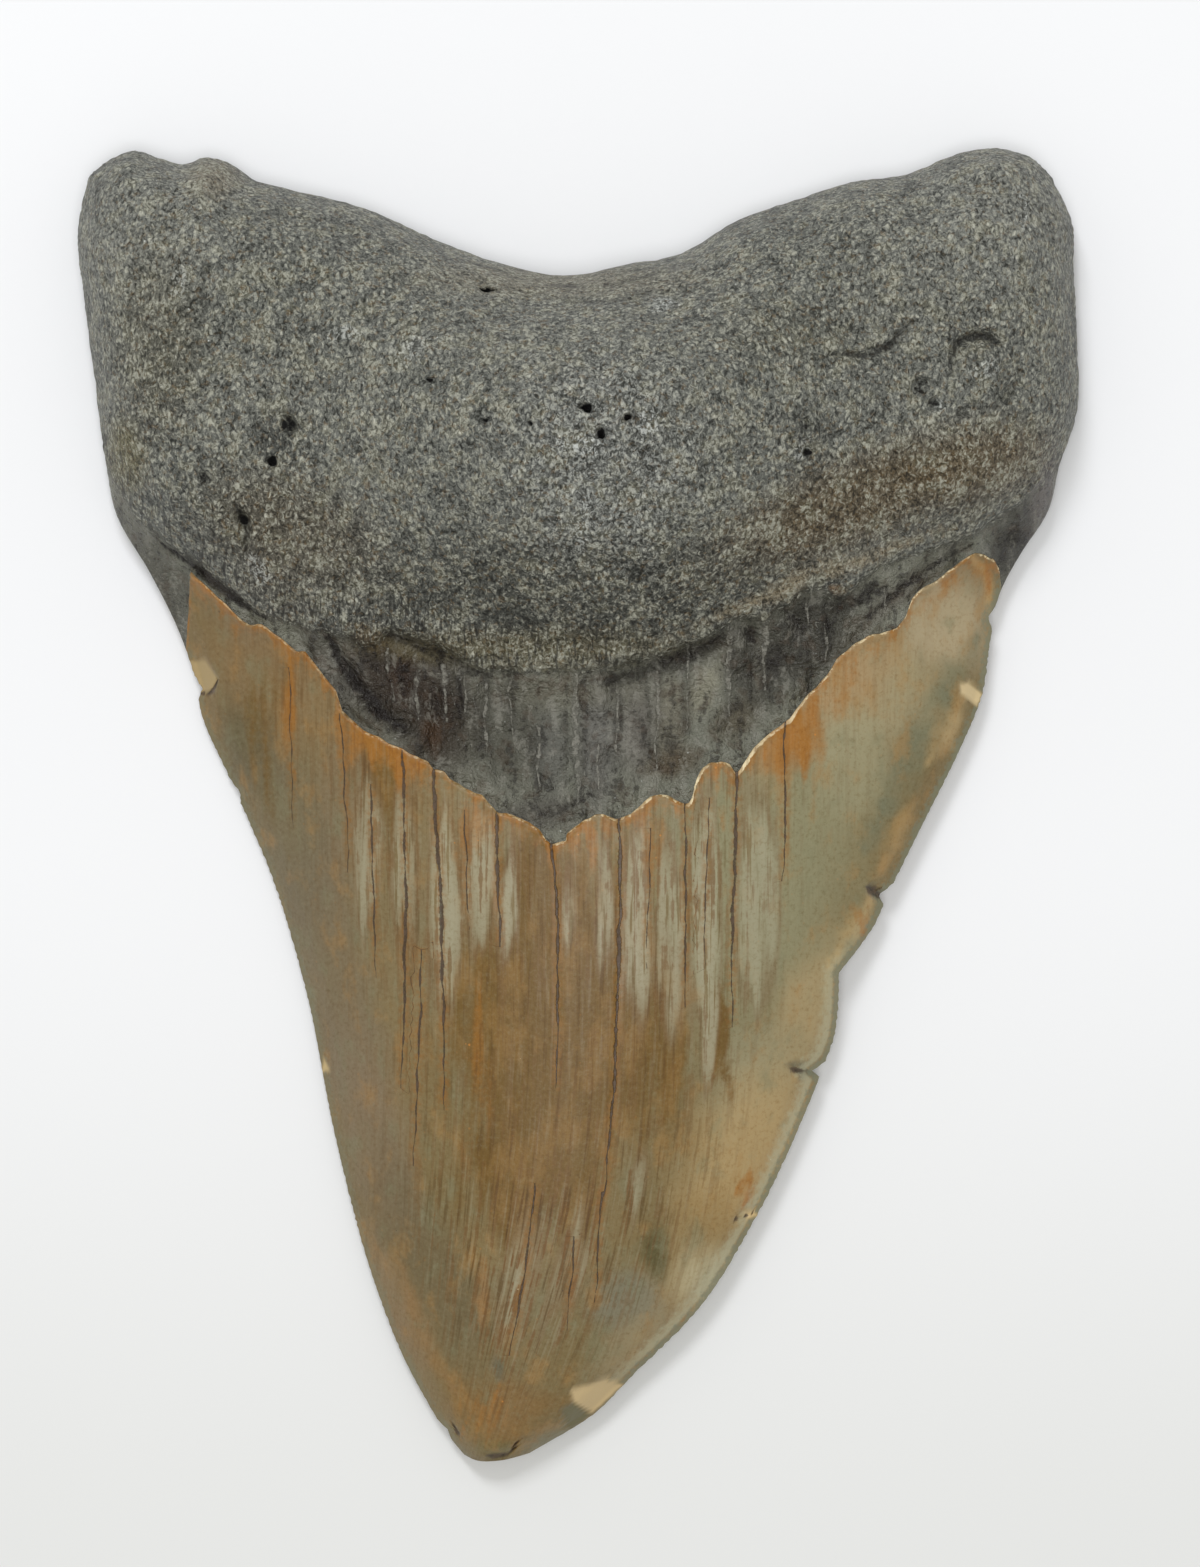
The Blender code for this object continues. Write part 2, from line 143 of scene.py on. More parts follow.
BAND_FURROWS = [
    ([(-24.8, 17.7), (-22.8, 13.9), (-20.8, 11.4), (-18.6, 8.9), (-16.6, 7.7)], 1.2, 0.6),
    ([(-21.4, 16.4), (-20.6, 15.4), (-19.2, 13.2)], 1.5, 0.4), ([(-14.2, 12.6), (-13.7, 8)], 1, 0.3),
    ([(-19.2, 17.6), (-16, 16.2), (-13.2, 15.1), (-11, 13.8), (-9, 13.2)], 1.4, 0.45),
    ([(-17.4, 14.8), (-17, 11)], 1.1, 0.4), ([(-11.7, 13.4), (-11.4, 9)], 0.7, 0.3),
    ([(6.5, 14), (10.8, 15.2), (14.6, 17.2)], 1.3, 0.45), ([(16.8, 18), (17.2, 16)], 1.3, 0.55),
    ([(20.4, 19.4), (21.6, 18), (21.4, 16.6)], 1.5, 0.55), ([(24.6, 18.8), (24.4, 17.4)], 1.1, 0.45),
    ([(19.6, 16), (19.4, 12.8)], 1.3, 0.45), ([(27, 20), (30.4, 21.8)], 1.3, 0.5),
    ([(27, 17.4), (30.4, 20.4), (34.4, 23.6), (39, 26.2)], 0.7, 0.3),
    ([(-6, 1.6), (-3, -0.4), (0, 0.8), (3, 2.2)], 0.9, 0.25), ([(43.2, 28), (44.6, 25.6)], 2, 0.5),
    ([(-41.4, 26.4), (-37.2, 23.6), (-33.6, 20.7), (-30.4, 18.7)], 0.8, 0.5),
]
# Raised strips: the rolled border of the root, and plates of the band
BAND_RISES = [
    ([(10.8, 17.3), (15.2, 19.3), (20.2, 21.4), (22.7, 22.7), (26.4, 23.4), (29.5, 24.9),
     (35.8, 27.2)], 1.2, 0.6),
    ([(-26.4, 16.6), (-24.4, 13), (-22.4, 10.4), (-19.6, 8)], 1, 0.35),
    ([(12.6, 14), (13.4, 11)], 1.8, 0.5), ([(2.4, 11.6), (2.2, 3.6)], 1.6, 0.3),
    ([(-1.8, 9), (-2.2, 3)], 1.5, 0.25), ([(8.8, 12.6), (8.6, 7)], 1.4, 0.35),
    ([(27, 15.4), (31.6, 20.6), (37, 24.9)], 0.7, 0.4),
]

# Nicks in the enamel, which the material also darkens with painted shade: points of the middle line, half
# width, depth
NICKS = [
    ([(-9.8, -64.5), (-8.4, -64.3), (-6.6, -63.8), (-6, -62.7)], 0.4, 0.6),
    ([(28.6, -7.8), (30.6, -8.9)], 0.6, 0.8), ([(20.8, -25.5), (23.6, -26.6)], 0.55, 0.7),
    ([(-35.6, 13.2), (-36.4, 11.8), (-38.2, 11.4)], 0.3, 0.3),
    ([(-12.4, -61.2), (-11.6, -62.6)], 0.35, 0.35), ([(15.6, -40.6), (17.4, -40.2)], 0.35, 0.4),
]
# Chips with straight sides: colour, corners anticlockwise, depth
CHIPS = [
    ((196, 172, 128), [(-0.4, -58.8), (1.5, -60.2), (4.6, -57.3), (2.9, -56.5), (-0.7, -57.5)], 0.25),
    ((110, 104, 76), [(-1.6, -59.5), (-0.8, -62), (1.4, -60.3), (-0.4, -58.9)], 0.35),
    ((206, 184, 140), [(37.9, 12.4), (38, 11.5), (39.8, 10.2), (40.4, 11.4), (38.8, 12.6)], 0.2),
    ((168, 146, 104), [(-38.9, 14.8), (-38.6, 11.5), (-36.3, 11.9), (-35.7, 13), (-37, 14.9)], 0.3),
    ((206, 180, 130), [(16.4, -40), (16.8, -40.8), (18, -40.4), (17.2, -39.8)], 0.15),
    ((196, 172, 124), [(-25.3, -24.8), (-25.6, -26.4), (-24.7, -25.9)], 0.1),
]

# Cracks in the enamel: top x, top y, foot x, foot y, bow, half width
CRACKS = [
    (-23.3, 9.2, -22.6, -6.5, 0.1, 0.062), (-20.3, 2.2, -19.9, -17, 0, 0.078),
    (-17.1, 5, -17.5, -28, 0.4, 0.117), (-14.1, 4, -13.1, -30, 0.3, 0.148),
    (-7.8, -0.4, -7.6, -13.6, 0, 0.156), (-2.4, -3.4, -2.2, -28, 0.4, 0.117),
    (4, -0.9, 2.6, -38, 0.65, 0.156), (10.5, 0.6, 10.6, -19.6, 0.1, 0.086),
    (15.6, 3.6, 15.3, -21.6, -0.1, 0.125), (20.3, 8.6, 20.2, -7.6, 0.1, 0.078),
    (-15.3, -14, -16.2, -35.5, 0.1, 0.086), (-4.2, -37, -6.8, -54.5, 0.3, 0.086),
    (2.4, -37.5, 1.8, -49, 0, 0.07), (-0.2, -42, -1, -51.5, 0, 0.062), (-28.4, 14, -28.2, -2, 0, 0.047),
    (-11, 0, -10.6, -12, 0, 0.055), (7.2, -2, 6.8, -16, 0, 0.047), (12.9, 1, 12.4, -16, 0, 0.047),
]
DEEP_CRACK = 0.1  # a crack at least this wide is cut into the mesh as well

# Fine ridges down the dental band: x, top y, foot y, half width
BAND_RIDGES = [
    (-18.7, 16, 13, 0.16), (-18.3, 12.6, 10, 0.14), (-15.7, 13.8, 8.4, 0.22), (-12.9, 14.4, 8.4, 0.22),
    (-11, 13.2, 9.2, 0.16), (-8.9, 12.4, 4.8, 0.17), (-3.8, 8.2, 1.6, 0.2), (-0.1, 13.2, 0.4, 0.28),
    (3.8, 12.6, 4.4, 0.15), (7.7, 13.4, 3.4, 0.18), (10.8, 16.4, 7.2, 0.16), (14.8, 18.4, 9, 0.24),
    (18.3, 19.4, 11.4, 0.26), (22.6, 20.6, 17.4, 0.15), (24.4, 18.4, 14, 0.14), (2, 6.4, 1, 0.12),
    (-6.4, 13, 7, 0.1), (30.2, 22, 19.6, 0.14),
]
LINE_REACH = 1.0  # how far beside a crack or a ridge the line that it draws can be seen

# Plain colours of the enamel and of the grey parts above it, darker and paler, as 8-bit display colours
ENAMEL_TONES = (116, 100, 64), (132, 112, 72)
GREY_TONES = (116, 118, 111), (134, 135, 127)

# Stains of the enamel's lingual face: colour, centre, half size, turn in degrees, strength
STAINS = [
    ((132, 106, 72), (-30.5, 13.5), (7.5, 8), 20, 0.6), ((96, 88, 62), (-32.4, 6.6), (2.6, 5.4), 24, 0.8),
    ((112, 104, 82), (-28, -3), (5, 9), 10, 0.6), ((128, 108, 82), (-23, 0), (2.6, 9), 0, 0.5),
    ((116, 104, 84), (-24, -17), (4, 12), 12, 0.6), ((132, 114, 92), (-20, -32), (3.4, 10), 14, 0.6),
    ((108, 78, 38), (-18.6, 4.4), (4, 3.2), -20, 0.95), ((132, 116, 84), (-13, -10), (9, 15), 0, 0.5),
    ((142, 138, 106), (18.5, -6), (9, 17), -14, 0.85), ((164, 152, 118), (28.4, 11), (7.5, 6), 36, 0.75),
    ((164, 136, 96), (26.6, 13), (5.4, 3), 40, 0.8), ((160, 112, 54), (20.8, 6.4), (3.6, 2.2), 44, 0.85),
    ((174, 158, 126), (36.4, 18.6), (4.4, 5), 0, 0.85), ((152, 146, 114), (27, 4), (3.4, 5), 0, 0.6),
    ((168, 148, 108), (23.5, -19), (3.4, 6), -20, 0.8), ((152, 146, 116), (17.5, -27), (4, 5), -28, 0.7),
    ((176, 150, 104), (17, -34), (5.4, 9), -28, 0.85), ((166, 144, 104), (9, -50), (3, 8), -44, 0.7),
    ((150, 122, 74), (13, -40), (2, 3.6), -36, 0.6), ((148, 126, 84), (10, -45.4), (5, 2.8), 44, 0.7),
    ((122, 120, 102), (5, -48.6), (3.6, 3.4), 20, 0.7),
    ((86, 80, 46), (7.9, -43.9), (1.2, 2.6), 12, 0.85), ((104, 92, 66), (-15, -45), (2.8, 12), 22, 0.6),
    ((140, 116, 84), (-18.4, -49), (2, 7), 22, 0.6), ((98, 88, 62), (-10.6, -47), (1.8, 6), 14, 0.5),
    ((84, 86, 72), (-7.6, -55.4), (0.7, 1.4), 10, 0.6), ((128, 98, 54), (-7, -59.6), (6, 2.8), -14, 0.8),
    ((116, 106, 66), (-7.8, -63.2), (2.2, 1.1), 0, 0.8),
    ((116, 108, 76), (-3.4, -62), (2.2, 1.6), 26, 0.7), ((142, 128, 96), (4, -53.6), (4, 1.6), 40, 0.7),
    ((104, 82, 46), (-5.8, -34), (4.4, 6), 0, 0.6), ((186, 176, 142), (12.8, -46.4), (3, 2.4), 44, 0.7),
    ((150, 132, 92), (0, -30), (6, 5), 0, 0.4), ((60, 58, 46), (29.6, -8.2), (1.3, 0.25), -25, 0.9),
    ((66, 68, 56), (22.4, -26), (1.5, 0.3), -20, 0.85),
]
# Soft stripes of the enamel: colour, points of the middle line, half width, strength
STRIPES = [
    ((114, 115, 90), [(39.6, 17), (35.2, 9.4), (32, 3.5), (28.4, -4)], 3.4, 0.85),
    ((192, 164, 116), [(38.4, 11), (36.6, 7.4), (34.8, 4.6)], 2, 0.7),
    ((178, 144, 92), [(33.4, 0.8), (31.9, -2.2), (30, -6.4)], 1.7, 0.6),
    ((188, 160, 110), [(29.8, -8), (27.6, -11.8), (25, -15.6)], 2.2, 0.65),
    ((190, 154, 98), [(39.3, 25), (40.7, 22.4), (40.9, 19.4)], 1.1, 0.7),
    ((186, 132, 70), [(-38.5, 23.2), (-36, 21.3), (-33, 18.2)], 0.45, 0.8),
    ((150, 104, 52), [(-29, 13), (-28.6, 9.4), (-28.9, 5.6)], 0.9, 0.7),
    ((162, 118, 70), [(-9.2, -44), (-9.6, -51)], 1, 0.5),
    ((150, 112, 66), [(-17.6, -45), (-15, -53), (-12, -58)], 1.6, 0.45),
    ((168, 110, 50), [(17.6, -37.4), (16.4, -39.4)], 0.7, 0.7),
]

# Stains of the enamel that follow its streaks: centre, half size, turn in degrees, strength
OCHRE = [
    ((-1.4, -21), (11, 15), 0, 1), ((-3.6, -6), (3, 7.5), 0, 0.9), ((-3.6, -36), (8, 6), 0, 0.8),
    ((14, -24.5), (1.4, 5), 0, 0.9), ((-30.5, 8), (3, 9), 0, 0.4), ((-18.6, 3), (3, 5), 0, 0.8),
    ((8, -21), (3, 9), 0, 0.8),
]
RUST = [
    ((-9.8, -25), (1.4, 10), 0, 0.45), ((-19.4, 6.4), (4.6, 3), -34, 0.9),
    ((-28.4, 10.5), (0.7, 6), 0, 0.6), ((21.4, 8.2), (3.4, 3.4), -10, 0.85),
    ((26, 12), (3.4, 1.6), 30, 0.5), ((0.6, -2.6), (3.2, 2), 0, 0.6), ((7.4, -4), (1.2, 4), 0, 0.6),
    ((-10.4, -1.6), (2, 3.4), 0, 0.6), ((-9.2, -48), (0.8, 5), 0, 0.45), ((-9.6, -60), (3, 2), 0, 0.5),
    ((17, -38), (0.8, 1.6), 0, 0.7), ((28.4, -9), (1, 1.6), 0, 0.6), ((13.4, 1.6), (1.6, 1.6), 0, 0.6),
    ((40.6, 22.4), (0.6, 1.6), 0, 0.7),
]
PALE = [
    ((-20.6, -3.6), (1.6, 7), 0, 0.7), ((-17, -6), (1.5, 9), 0, 0.8), ((-13, -8.6), (1.6, 9.5), 0, 0.95),
    ((-9.6, -7), (1.5, 7), 0, 0.8), ((-6.6, -9.8), (0.9, 4.4), 0, 0.95), ((-1, -11), (0.8, 4.4), 0, 0.7),
    ((2.8, -10), (1, 5), 0, 0.8), ((5.8, -12.6), (1.4, 8.6), 0, 1), ((9, -13), (1.6, 7.6), 0, 0.75),
    ((12.6, -11.6), (1.6, 11), 0, 0.9), ((13.2, -22.6), (0.8, 6), 0, 0.9),
    ((17.6, -9), (2.4, 12), 0, 0.7), ((-3, -46), (2.4, 7), 0, 0.5), ((2, -45.6), (2, 6.4), 0, 0.45),
    ((7.2, -37.6), (1.4, 4.4), 0, 0.45),
]

# Dark, brown and pale places of the dental band and of the root, among them painted shade and painted
# highlights marked below: colour, centre, half size, turn, strength
GREY_STAINS = [
    ((56, 47, 40), (-17.6, 12.6), (7, 5), -25, 0.95), ((58, 50, 43), (-13.4, 8), (3.6, 4.6), 0, 0.9),
    ((92, 90, 86), (-24.6, 14), (1.2, 4.6), 28, 0.8), ((66, 48, 36), (-17.4, 13), (1, 2.2), 0, 0.7),
    ((78, 56, 38), (-14.2, 7.6), (0.9, 1.6), 0, 0.7), ((116, 96, 66), (-20.2, 16.8), (1.6, 1), -20, 0.8),
    ((80, 79, 73), (-6.6, 8), (4, 6), 0, 0.8), ((110, 109, 109), (2, 7.2), (1.9, 6.4), 0, 0.8),
    ((98, 98, 97), (-2.4, 5.6), (1.6, 4.4), 0, 0.7), ((104, 100, 98), (5.8, 8), (1.7, 4.6), 0, 0.75),
    # The pale plate at (12.4, 11.8) is a painted highlight, where the plate tilts towards the key light.
    ((112, 108, 98), (9, 8.4), (1.5, 4), 0, 0.75), ((146, 144, 132), (12.4, 11.8), (1.3, 2.6), -24, 0.8),
    ((132, 130, 120), (9.2, 11.2), (1, 1.6), -20, 0.6), ((80, 66, 48), (9.4, 4.6), (2.6, 1.4), 16, 0.7),
    ((80, 70, 54), (15.6, 9), (2.6, 1.6), 40, 0.7), ((58, 56, 52), (22.4, 16.4), (6, 4), 36, 0.9),
    ((100, 96, 90), (31.6, 21), (6.6, 0.9), 40, 0.75), ((62, 60, 56), (17, 14), (2.4, 4), 20, 0.85),
    ((110, 108, 98), (-1, 11.6), (7, 1.6), 0, 0.6), ((72, 68, 66), (-4, -0.6), (5, 1.6), 10, 0.7),
    ((58, 56, 54), (43.6, 26.6), (2.4, 4.5), -30, 0.85),
    # The purple-grey spot at (46.2, 31.6) is a painted highlight on the root's shoulder.
    ((114, 108, 112), (46.2, 31.6), (1.1, 3.4), -12, 0.7), ((64, 60, 55), (-42.5, 22), (3, 8), 30, 0.6),
    ((160, 154, 132), (-4, 14.1), (6.5, 0.3), 0, 0.7), ((110, 92, 62), (27, 30), (14, 3.8), 24, 0.8),
    ((114, 96, 66), (40, 33.5), (6.5, 3), 20, 0.7), ((98, 85, 62), (-27.6, 26.6), (9, 5), -24, 0.6),
    # The dark stain at (0, 21.5) is painted shade on the root's lower slope, which faces away from the key
    # light.
    ((122, 112, 82), (-4, 16), (14, 1.6), 0, 0.8), ((82, 82, 74), (0, 21.5), (22, 5), 0, 0.7),
    ((132, 124, 86), (-44.4, 35), (2, 3.2), 10, 0.8), ((156, 140, 110), (-36, 62), (2.4, 2.2), 0, 0.5),
    # The dark stains at (-29, 36), (-40.6, 40), (38.6, 45.8) and (22, 35.8) are painted shade in hollows
    # and furrows of the root.
    ((146, 138, 116), (-2, 51.8), (12, 1.8), 0, 0.55), ((66, 66, 62), (-29, 36), (2.4, 3.2), 0, 0.5),
    ((128, 129, 124), (1, 34), (9, 8), 0, 0.6), ((64, 64, 60), (-40.6, 40), (3, 5), 0, 0.35),
    ((147, 148, 141), (-42, 56), (8, 7), 0, 0.5), ((149, 150, 143), (41, 57), (9, 7), 0, 0.5),
    ((110, 104, 80), (-41, 46), (4, 8), 0, 0.4), ((104, 102, 84), (20, 46), (6, 3), 0, 0.3),
    ((72, 72, 68), (38.6, 45.8), (3, 1.4), 0, 0.5), ((74, 74, 68), (22, 35.8), (2, 2.6), 0, 0.45),
    ((98, 92, 80), (-30, 21), (4, 1.6), -30, 0.5),
]
# Soft stripes there, among them painted shadows and painted highlights marked below: colour, points of the
# middle line, half width, strength
GREY_STRIPES = [
    ((166, 152, 124), [(8, 16.2), (15.2, 19.4), (20.2, 21.4), (22.7, 22.9), (26.4, 23.8), (31, 25.6),
     (38, 28.2)], 1.5, 0.9),
    ((150, 116, 78), [(24.8, 21.8), (26, 21.2)], 0.9, 0.8),
    ((150, 140, 118), [(18.2, 20), (18.4, 17.6)], 0.5, 0.8),
    # Painted shadow under the root's overhanging margin, on the left.
    ((56, 52, 48), [(-39.8, 25.6), (-36.8, 23.4), (-33.4, 20.6), (-30, 18.6)], 0.8, 0.8),
    ((94, 88, 76), [(33, 27), (40, 29.6)], 2.4, 0.5),
    # The next two dark stripes are painted shadow under the root's overhanging margin, on the right.
    ((50, 48, 44), [(1.6, 12.6), (7.6, 13.6), (12.4, 15.6), (16, 17.4)], 1.9, 0.9),
    ((50, 48, 44), [(19.4, 17.6), (22.6, 19.8), (26.4, 20), (29.4, 22.2)], 1.6, 0.85),
    ((40, 37, 35), [(-25.2, 18.6), (-22.8, 13.9), (-20.6, 11), (-18.2, 8.8), (-15.6, 7.2)], 1.5, 0.95),
    # The next four pale stripes lie on ridges of the band and are partly painted highlight; the palest, at
    # (-14.2, 13.4), is painted highlight.
    ((118, 116, 112), [(-23.6, 18), (-22.2, 15.4), (-20.6, 12.8)], 0.5, 0.7),
    ((128, 126, 118), [(18.6, 19), (18, 15), (17.6, 11.4)], 0.7, 0.8),
    ((124, 122, 112), [(15, 17.4), (14.4, 15), (14, 12.6)], 0.6, 0.7),
    ((150, 148, 142), [(-15.6, 14.2), (-14.2, 13.4), (-12.8, 12.4)], 0.5, 0.8),
    # The dark stripes from here to the end lie beside the band's pale ridges and are painted shadow.
    ((58, 56, 53), [(-4.7, 9), (-4.5, 2)], 0.6, 0.8), ((60, 58, 54), [(-1.1, 11.6), (-1.1, 2)], 0.5, 0.7),
    ((60, 58, 54), [(0.8, 11), (0.7, 2.4)], 0.5, 0.7),
    ((54, 52, 48), [(4.3, 12.4), (4.1, 4.2)], 0.5, 0.8), ((54, 52, 48), [(7.1, 12.6), (7, 5)], 0.6, 0.75),
    ((50, 47, 43), [(10.5, 14), (10.2, 6.6)], 0.5, 0.8),
    ((64, 60, 55), [(-9.8, 12.4), (-9.7, 5)], 0.7, 0.7),
    ((52, 50, 47), [(16.2, 12), (14, 7.6)], 0.6, 0.7),
]

# Spots of the root that are glossier and are painted paler as glints, a painted highlight: centre, half
# size, turn in degrees, strength
GLOSS_AND_GLINT_SPOTS = [
    ((3, 33), (8, 9), 0, 0.3), ((0.2, 34.6), (1.9, 1.2), 20, 1), ((1, 27.6), (0.6, 2.8), 0, 0.9),
    ((6.6, 36.6), (1, 1), 0, 0.9), ((8.7, 49), (1.2, 0.5), 0, 0.9), ((22, 34.6), (0.4, 0.7), 0, 1),
    ((-31.2, 23.6), (1.2, 0.6), 0, 0.7), ((39.6, 43), (1, 0.8), 0, 0.7), ((-22, 46), (1.4, 0.8), 0, 0.6),
    ((43.6, 58.6), (0.2, 2.1), 0, 1), ((35.4, 39.8), (0.6, 0.5), 0, 0.7),
    ((-38.4, 51.6), (0.8, 1.6), 0, 0.5), ((-16, 44.6), (2, 1), 30, 0.4),
]

# What the surface and its mesh are worked out with. Lengths are in millimetres here too.
OUTLINE_STEPS = 700  # places along each side of the outline that distances are taken to
STRAND_STEPS = 40  # places along a furrow or a stripe
CORNER_EASE = 4.0  # how sharply the distances from two sides of the outline join at a corner
FAR = 9.0  # a distance past the reach of every crack, ridge and chip
GROWTH_BEND, GROWTH_BENDS_BELOW = 6e-5, -9.0  # how fast the growth lines lean, and from what height down
CRACK_WANDER, RIDGE_WANDER = 0.9, 1.5  # how much these lines stray from their straight courses
RIDGE_LEAN = 0.1  # how far to the right a ridge's foot is of its top
LEDGE_SOFTNESS, MARGIN_SOFTNESS = 0.13, 0.5  # half of the width that the step up to each surface takes
CROWN_CURL, ROOT_CURL = 13.0, 4.5  # how far in from the rim the labial face curls up
EDGE_TOP = 18.0  # height up the tooth at which the cutting edges end
CELL_CROWDING = 1.35  # how much narrower the mesh's cells are by the rim
NEAR_LEDGE, NEAR_EDGE = 1.3, 0.45  # how near the ledge and the cutting edges the cells are halved again

# What the material and the stage are worked out with
RELIEF_UNIT = MM / 100  # the unit of the heights in the next line
GRAIN_RELIEF, PORE_RELIEF, BAND_RELIEF, LINE_RELIEF, ENAMEL_RELIEF = 62.0, 12.0, 75.0, 8.0, 3.0
FRAME_MIDDLE = (2.25 * MM, 2.55 * MM)  # the place that the camera looks down on
# The floor's darkening towards the bottom of the frame is painted light falloff.
FLOOR_DARKENS_TO = -80 * MM  # height in the frame at which the floor has its lower colour


# ---------------------------------------------------------------- settings that a user would change


def length_setting(label, about, default):
    return bpy.props.FloatProperty(name=label, description=about, default=default, unit="LENGTH")


class ToothShape(bpy.types.PropertyGroup):
    """Sizes of the tooth and of the wear on it."""

    root_thickness: length_setting("Root", "Thickness at the swelling", 0.027)
    lobe_thickness: length_setting("Lobes", "Thickness of the root's lobes", 0.0155)
    crown_thickness: length_setting("Crown", "Thickness where the enamel begins", 0.014)
    tip_thickness: length_setting("Tip", "Thickness just above the tip", 0.004)
    edge_thickness: length_setting("Cutting edge", "Thickness of the worn edge", 0.0005)
    enamel_step: length_setting("Enamel step", "Height of the broken enamel ledge", 0.0006)
    root_step: length_setting("Root step", "Height of the root's rough margin", 0.001)
    serration_pitch: length_setting("Serration pitch", "From one serration to the next", 0.00085)
    serration_depth: length_setting("Serration depth", "What is left of the worn serrations", 0.00007)
    grain_size: length_setting("Root grain", "Size of the root's finest bumps", 0.0009)
    grain_height: length_setting("Grain height", "Height of those bumps", 0.00016)
    columns: bpy.props.IntProperty(name="Columns", description="Cells across the tooth", default=100)
    rows: bpy.props.IntProperty(name="Rows", description="Cells along the tooth", default=136)


def paint(red, green, blue):
    """Linear colour of an 8-bit display colour."""
    display = [channel / 255 for channel in (red, green, blue)]
    linear = [((c + 0.055) / 1.055) ** 2.4 if c > 0.04045 else c / 12.92 for c in display]
    return (*linear, 1.0)


def tone(colour):
    """The same as numbers that can be mixed at every point."""
    return np.array(paint(*colour))


def colour_setting(label, about, *colour):
    return bpy.props.FloatVectorProperty(
        name=label, description=about, subtype="COLOR", size=4, min=0, max=1, default=paint(*colour)
    )


class ToothColours(bpy.types.PropertyGroup):
    """Colours of the tooth's three surfaces and of their stains, and the shade and highlights painted on
    them.
    """

    root_dark: colour_setting("Root, dark grains", "What the root is multiplied by in them", 106, 106, 100)
    root_pale: colour_setting("Root, pale grains", "Palest grains of the root", 204, 203, 186)
    # This colour is a painted highlight: near-white spots painted where light glints off the root and the
    # band.
    painted_glint: colour_setting("Root, glints", "Bright spots where the root is polished", 222, 225, 220)
    root_brown: colour_setting("Root, brown", "Brown stain of the root", 124, 98, 56)
    root_olive: colour_setting("Root, olive", "Olive clouds of the root", 112, 108, 84)
    # This colour darkens the root's pores, and it is also painted shade in the root's furrows.
    pore_and_furrow_shade: colour_setting("Pores", "Dark inside of the root's pores", 40, 38, 34)
    # The pits' colour is painted shade inside the holes for vessels.
    pit: colour_setting("Pits", "Darkest inside of the holes for vessels", 20, 18, 16)
    band: colour_setting("Dental band", "What its grey is multiplied by", 250, 247, 235)
    # This colour is the band's black-brown, and it is also painted shade in its furrows and beside its
    # ridges.
    band_dark_and_shade: colour_setting("Dental band, dark", "Black-brown of its furrows", 34, 29, 26)
    band_brown: colour_setting("Dental band, brown", "Brown patches of the band", 72, 54, 38)
    # This colour gives pale patches of the band, and it is partly painted highlight along the band's
    # ridges.
    band_pale_and_ridge_highlight: colour_setting("Dental band, ridges", "Pale ridges down the band", 150, 147, 136)
    enamel_pale: colour_setting("Enamel, pale", "Pale streaks between the cracks", 164, 157, 130)
    ochre: colour_setting("Enamel, ochre", "Ochre heart of the crown", 108, 80, 28)
    green: colour_setting("Enamel, green", "Grey-green clouds of the enamel", 124, 122, 92)
    tan: colour_setting("Enamel, tan", "Tan clouds of the enamel", 160, 122, 68)
    brown_streak: colour_setting("Brown streaks", "Brown lengthwise streaks", 112, 80, 40)
    orange: colour_setting("Orange stain", "Iron stain under the enamel's ledge", 158, 104, 34)
    rusty: colour_setting("Crack stain", "Iron stain beside the cracks", 140, 96, 42)
    speck: colour_setting("Rust specks", "Small specks of rust", 190, 124, 52)
    streak: colour_setting("Fine streaks", "What the enamel is multiplied by in them", 206, 190, 160)
    rim: colour_setting("Cutting edge", "Grey-green along the cutting edges", 122, 124, 102)
    edge_line: colour_setting("Beside the edge", "Pale line beside the right cutting edge", 178, 174, 144)
    # This colour is the cream of broken enamel; it is also painted highlight on the ledge's lit side and in
    # small flecks on the enamel.
    lip: colour_setting("Broken enamel", "Cream of freshly broken enamel", 232, 214, 172)
    crack: colour_setting("Cracks", "Darkest filling of the cracks", 44, 34, 28)
    crack_fill: colour_setting("Cracks, paler", "Palest filling of the cracks", 84, 68, 54)


def power_setting(label, about, default):
    return bpy.props.FloatProperty(name=label, description=about, default=default, unit="POWER")


class ToothStage(bpy.types.PropertyGroup):
    """The floor, the lights and the camera."""

    floor: colour_setting("Floor", "Colour of the pale floor", 242, 242, 243)
    # The lower floor colour is painted light falloff.
    floor_falloff_shade: colour_setting("Floor, below", "Its colour towards the bottom of the frame", 229, 229, 227)
    camera_height: length_setting("Camera height", "Height of the camera over the floor", 0.6)
    frame_height: length_setting("Frame height", "Length of floor that the frame shows", 0.1567)
    key_power: power_setting("Key light", "Power of the light beyond the root", 2.1)
    top_power: power_setting("Top light", "Power of the light beside the camera", 2.35)
    sky: bpy.props.FloatProperty(name="Fill", description="Strength of the light all round", default=0.47)


# ---------------------------------------------------------------- curves and distances


def smooth_curve(at, points):
    """Value at each place on a smooth line through (place, value) points."""
    knots, values = np.array(points, float).T
    slopes = np.gradient(values, knots)
    at = np.clip(at, knots[0], knots[-1])
    right = np.clip(np.searchsorted(knots, at), 1, len(knots) - 1)
    left = right - 1
    span = knots[right] - knots[left]
    t = (at - knots[left]) / span
    return (
        values[left] * (1 + 2 * t) * (1 - t) ** 2
        + values[right] * t**2 * (3 - 2 * t)
        + span * t * (1 - t) * (slopes[left] * (1 - t) - slopes[right] * t)
    )


def straight_line(at, points):
    """Value at each place on straight runs between (place, value) points, as a broken edge has them."""
    places, values = np.array(points, float).T
    return np.interp(at, places, values)


def ramp(low, high, value):
    """0 below low, 1 above high, and smooth between."""
    t = np.clip((value - low) / (high - low), 0, 1)
    return t * t * (3 - 2 * t)


def mixed(first, second, share):
    return first + (second - first) * share


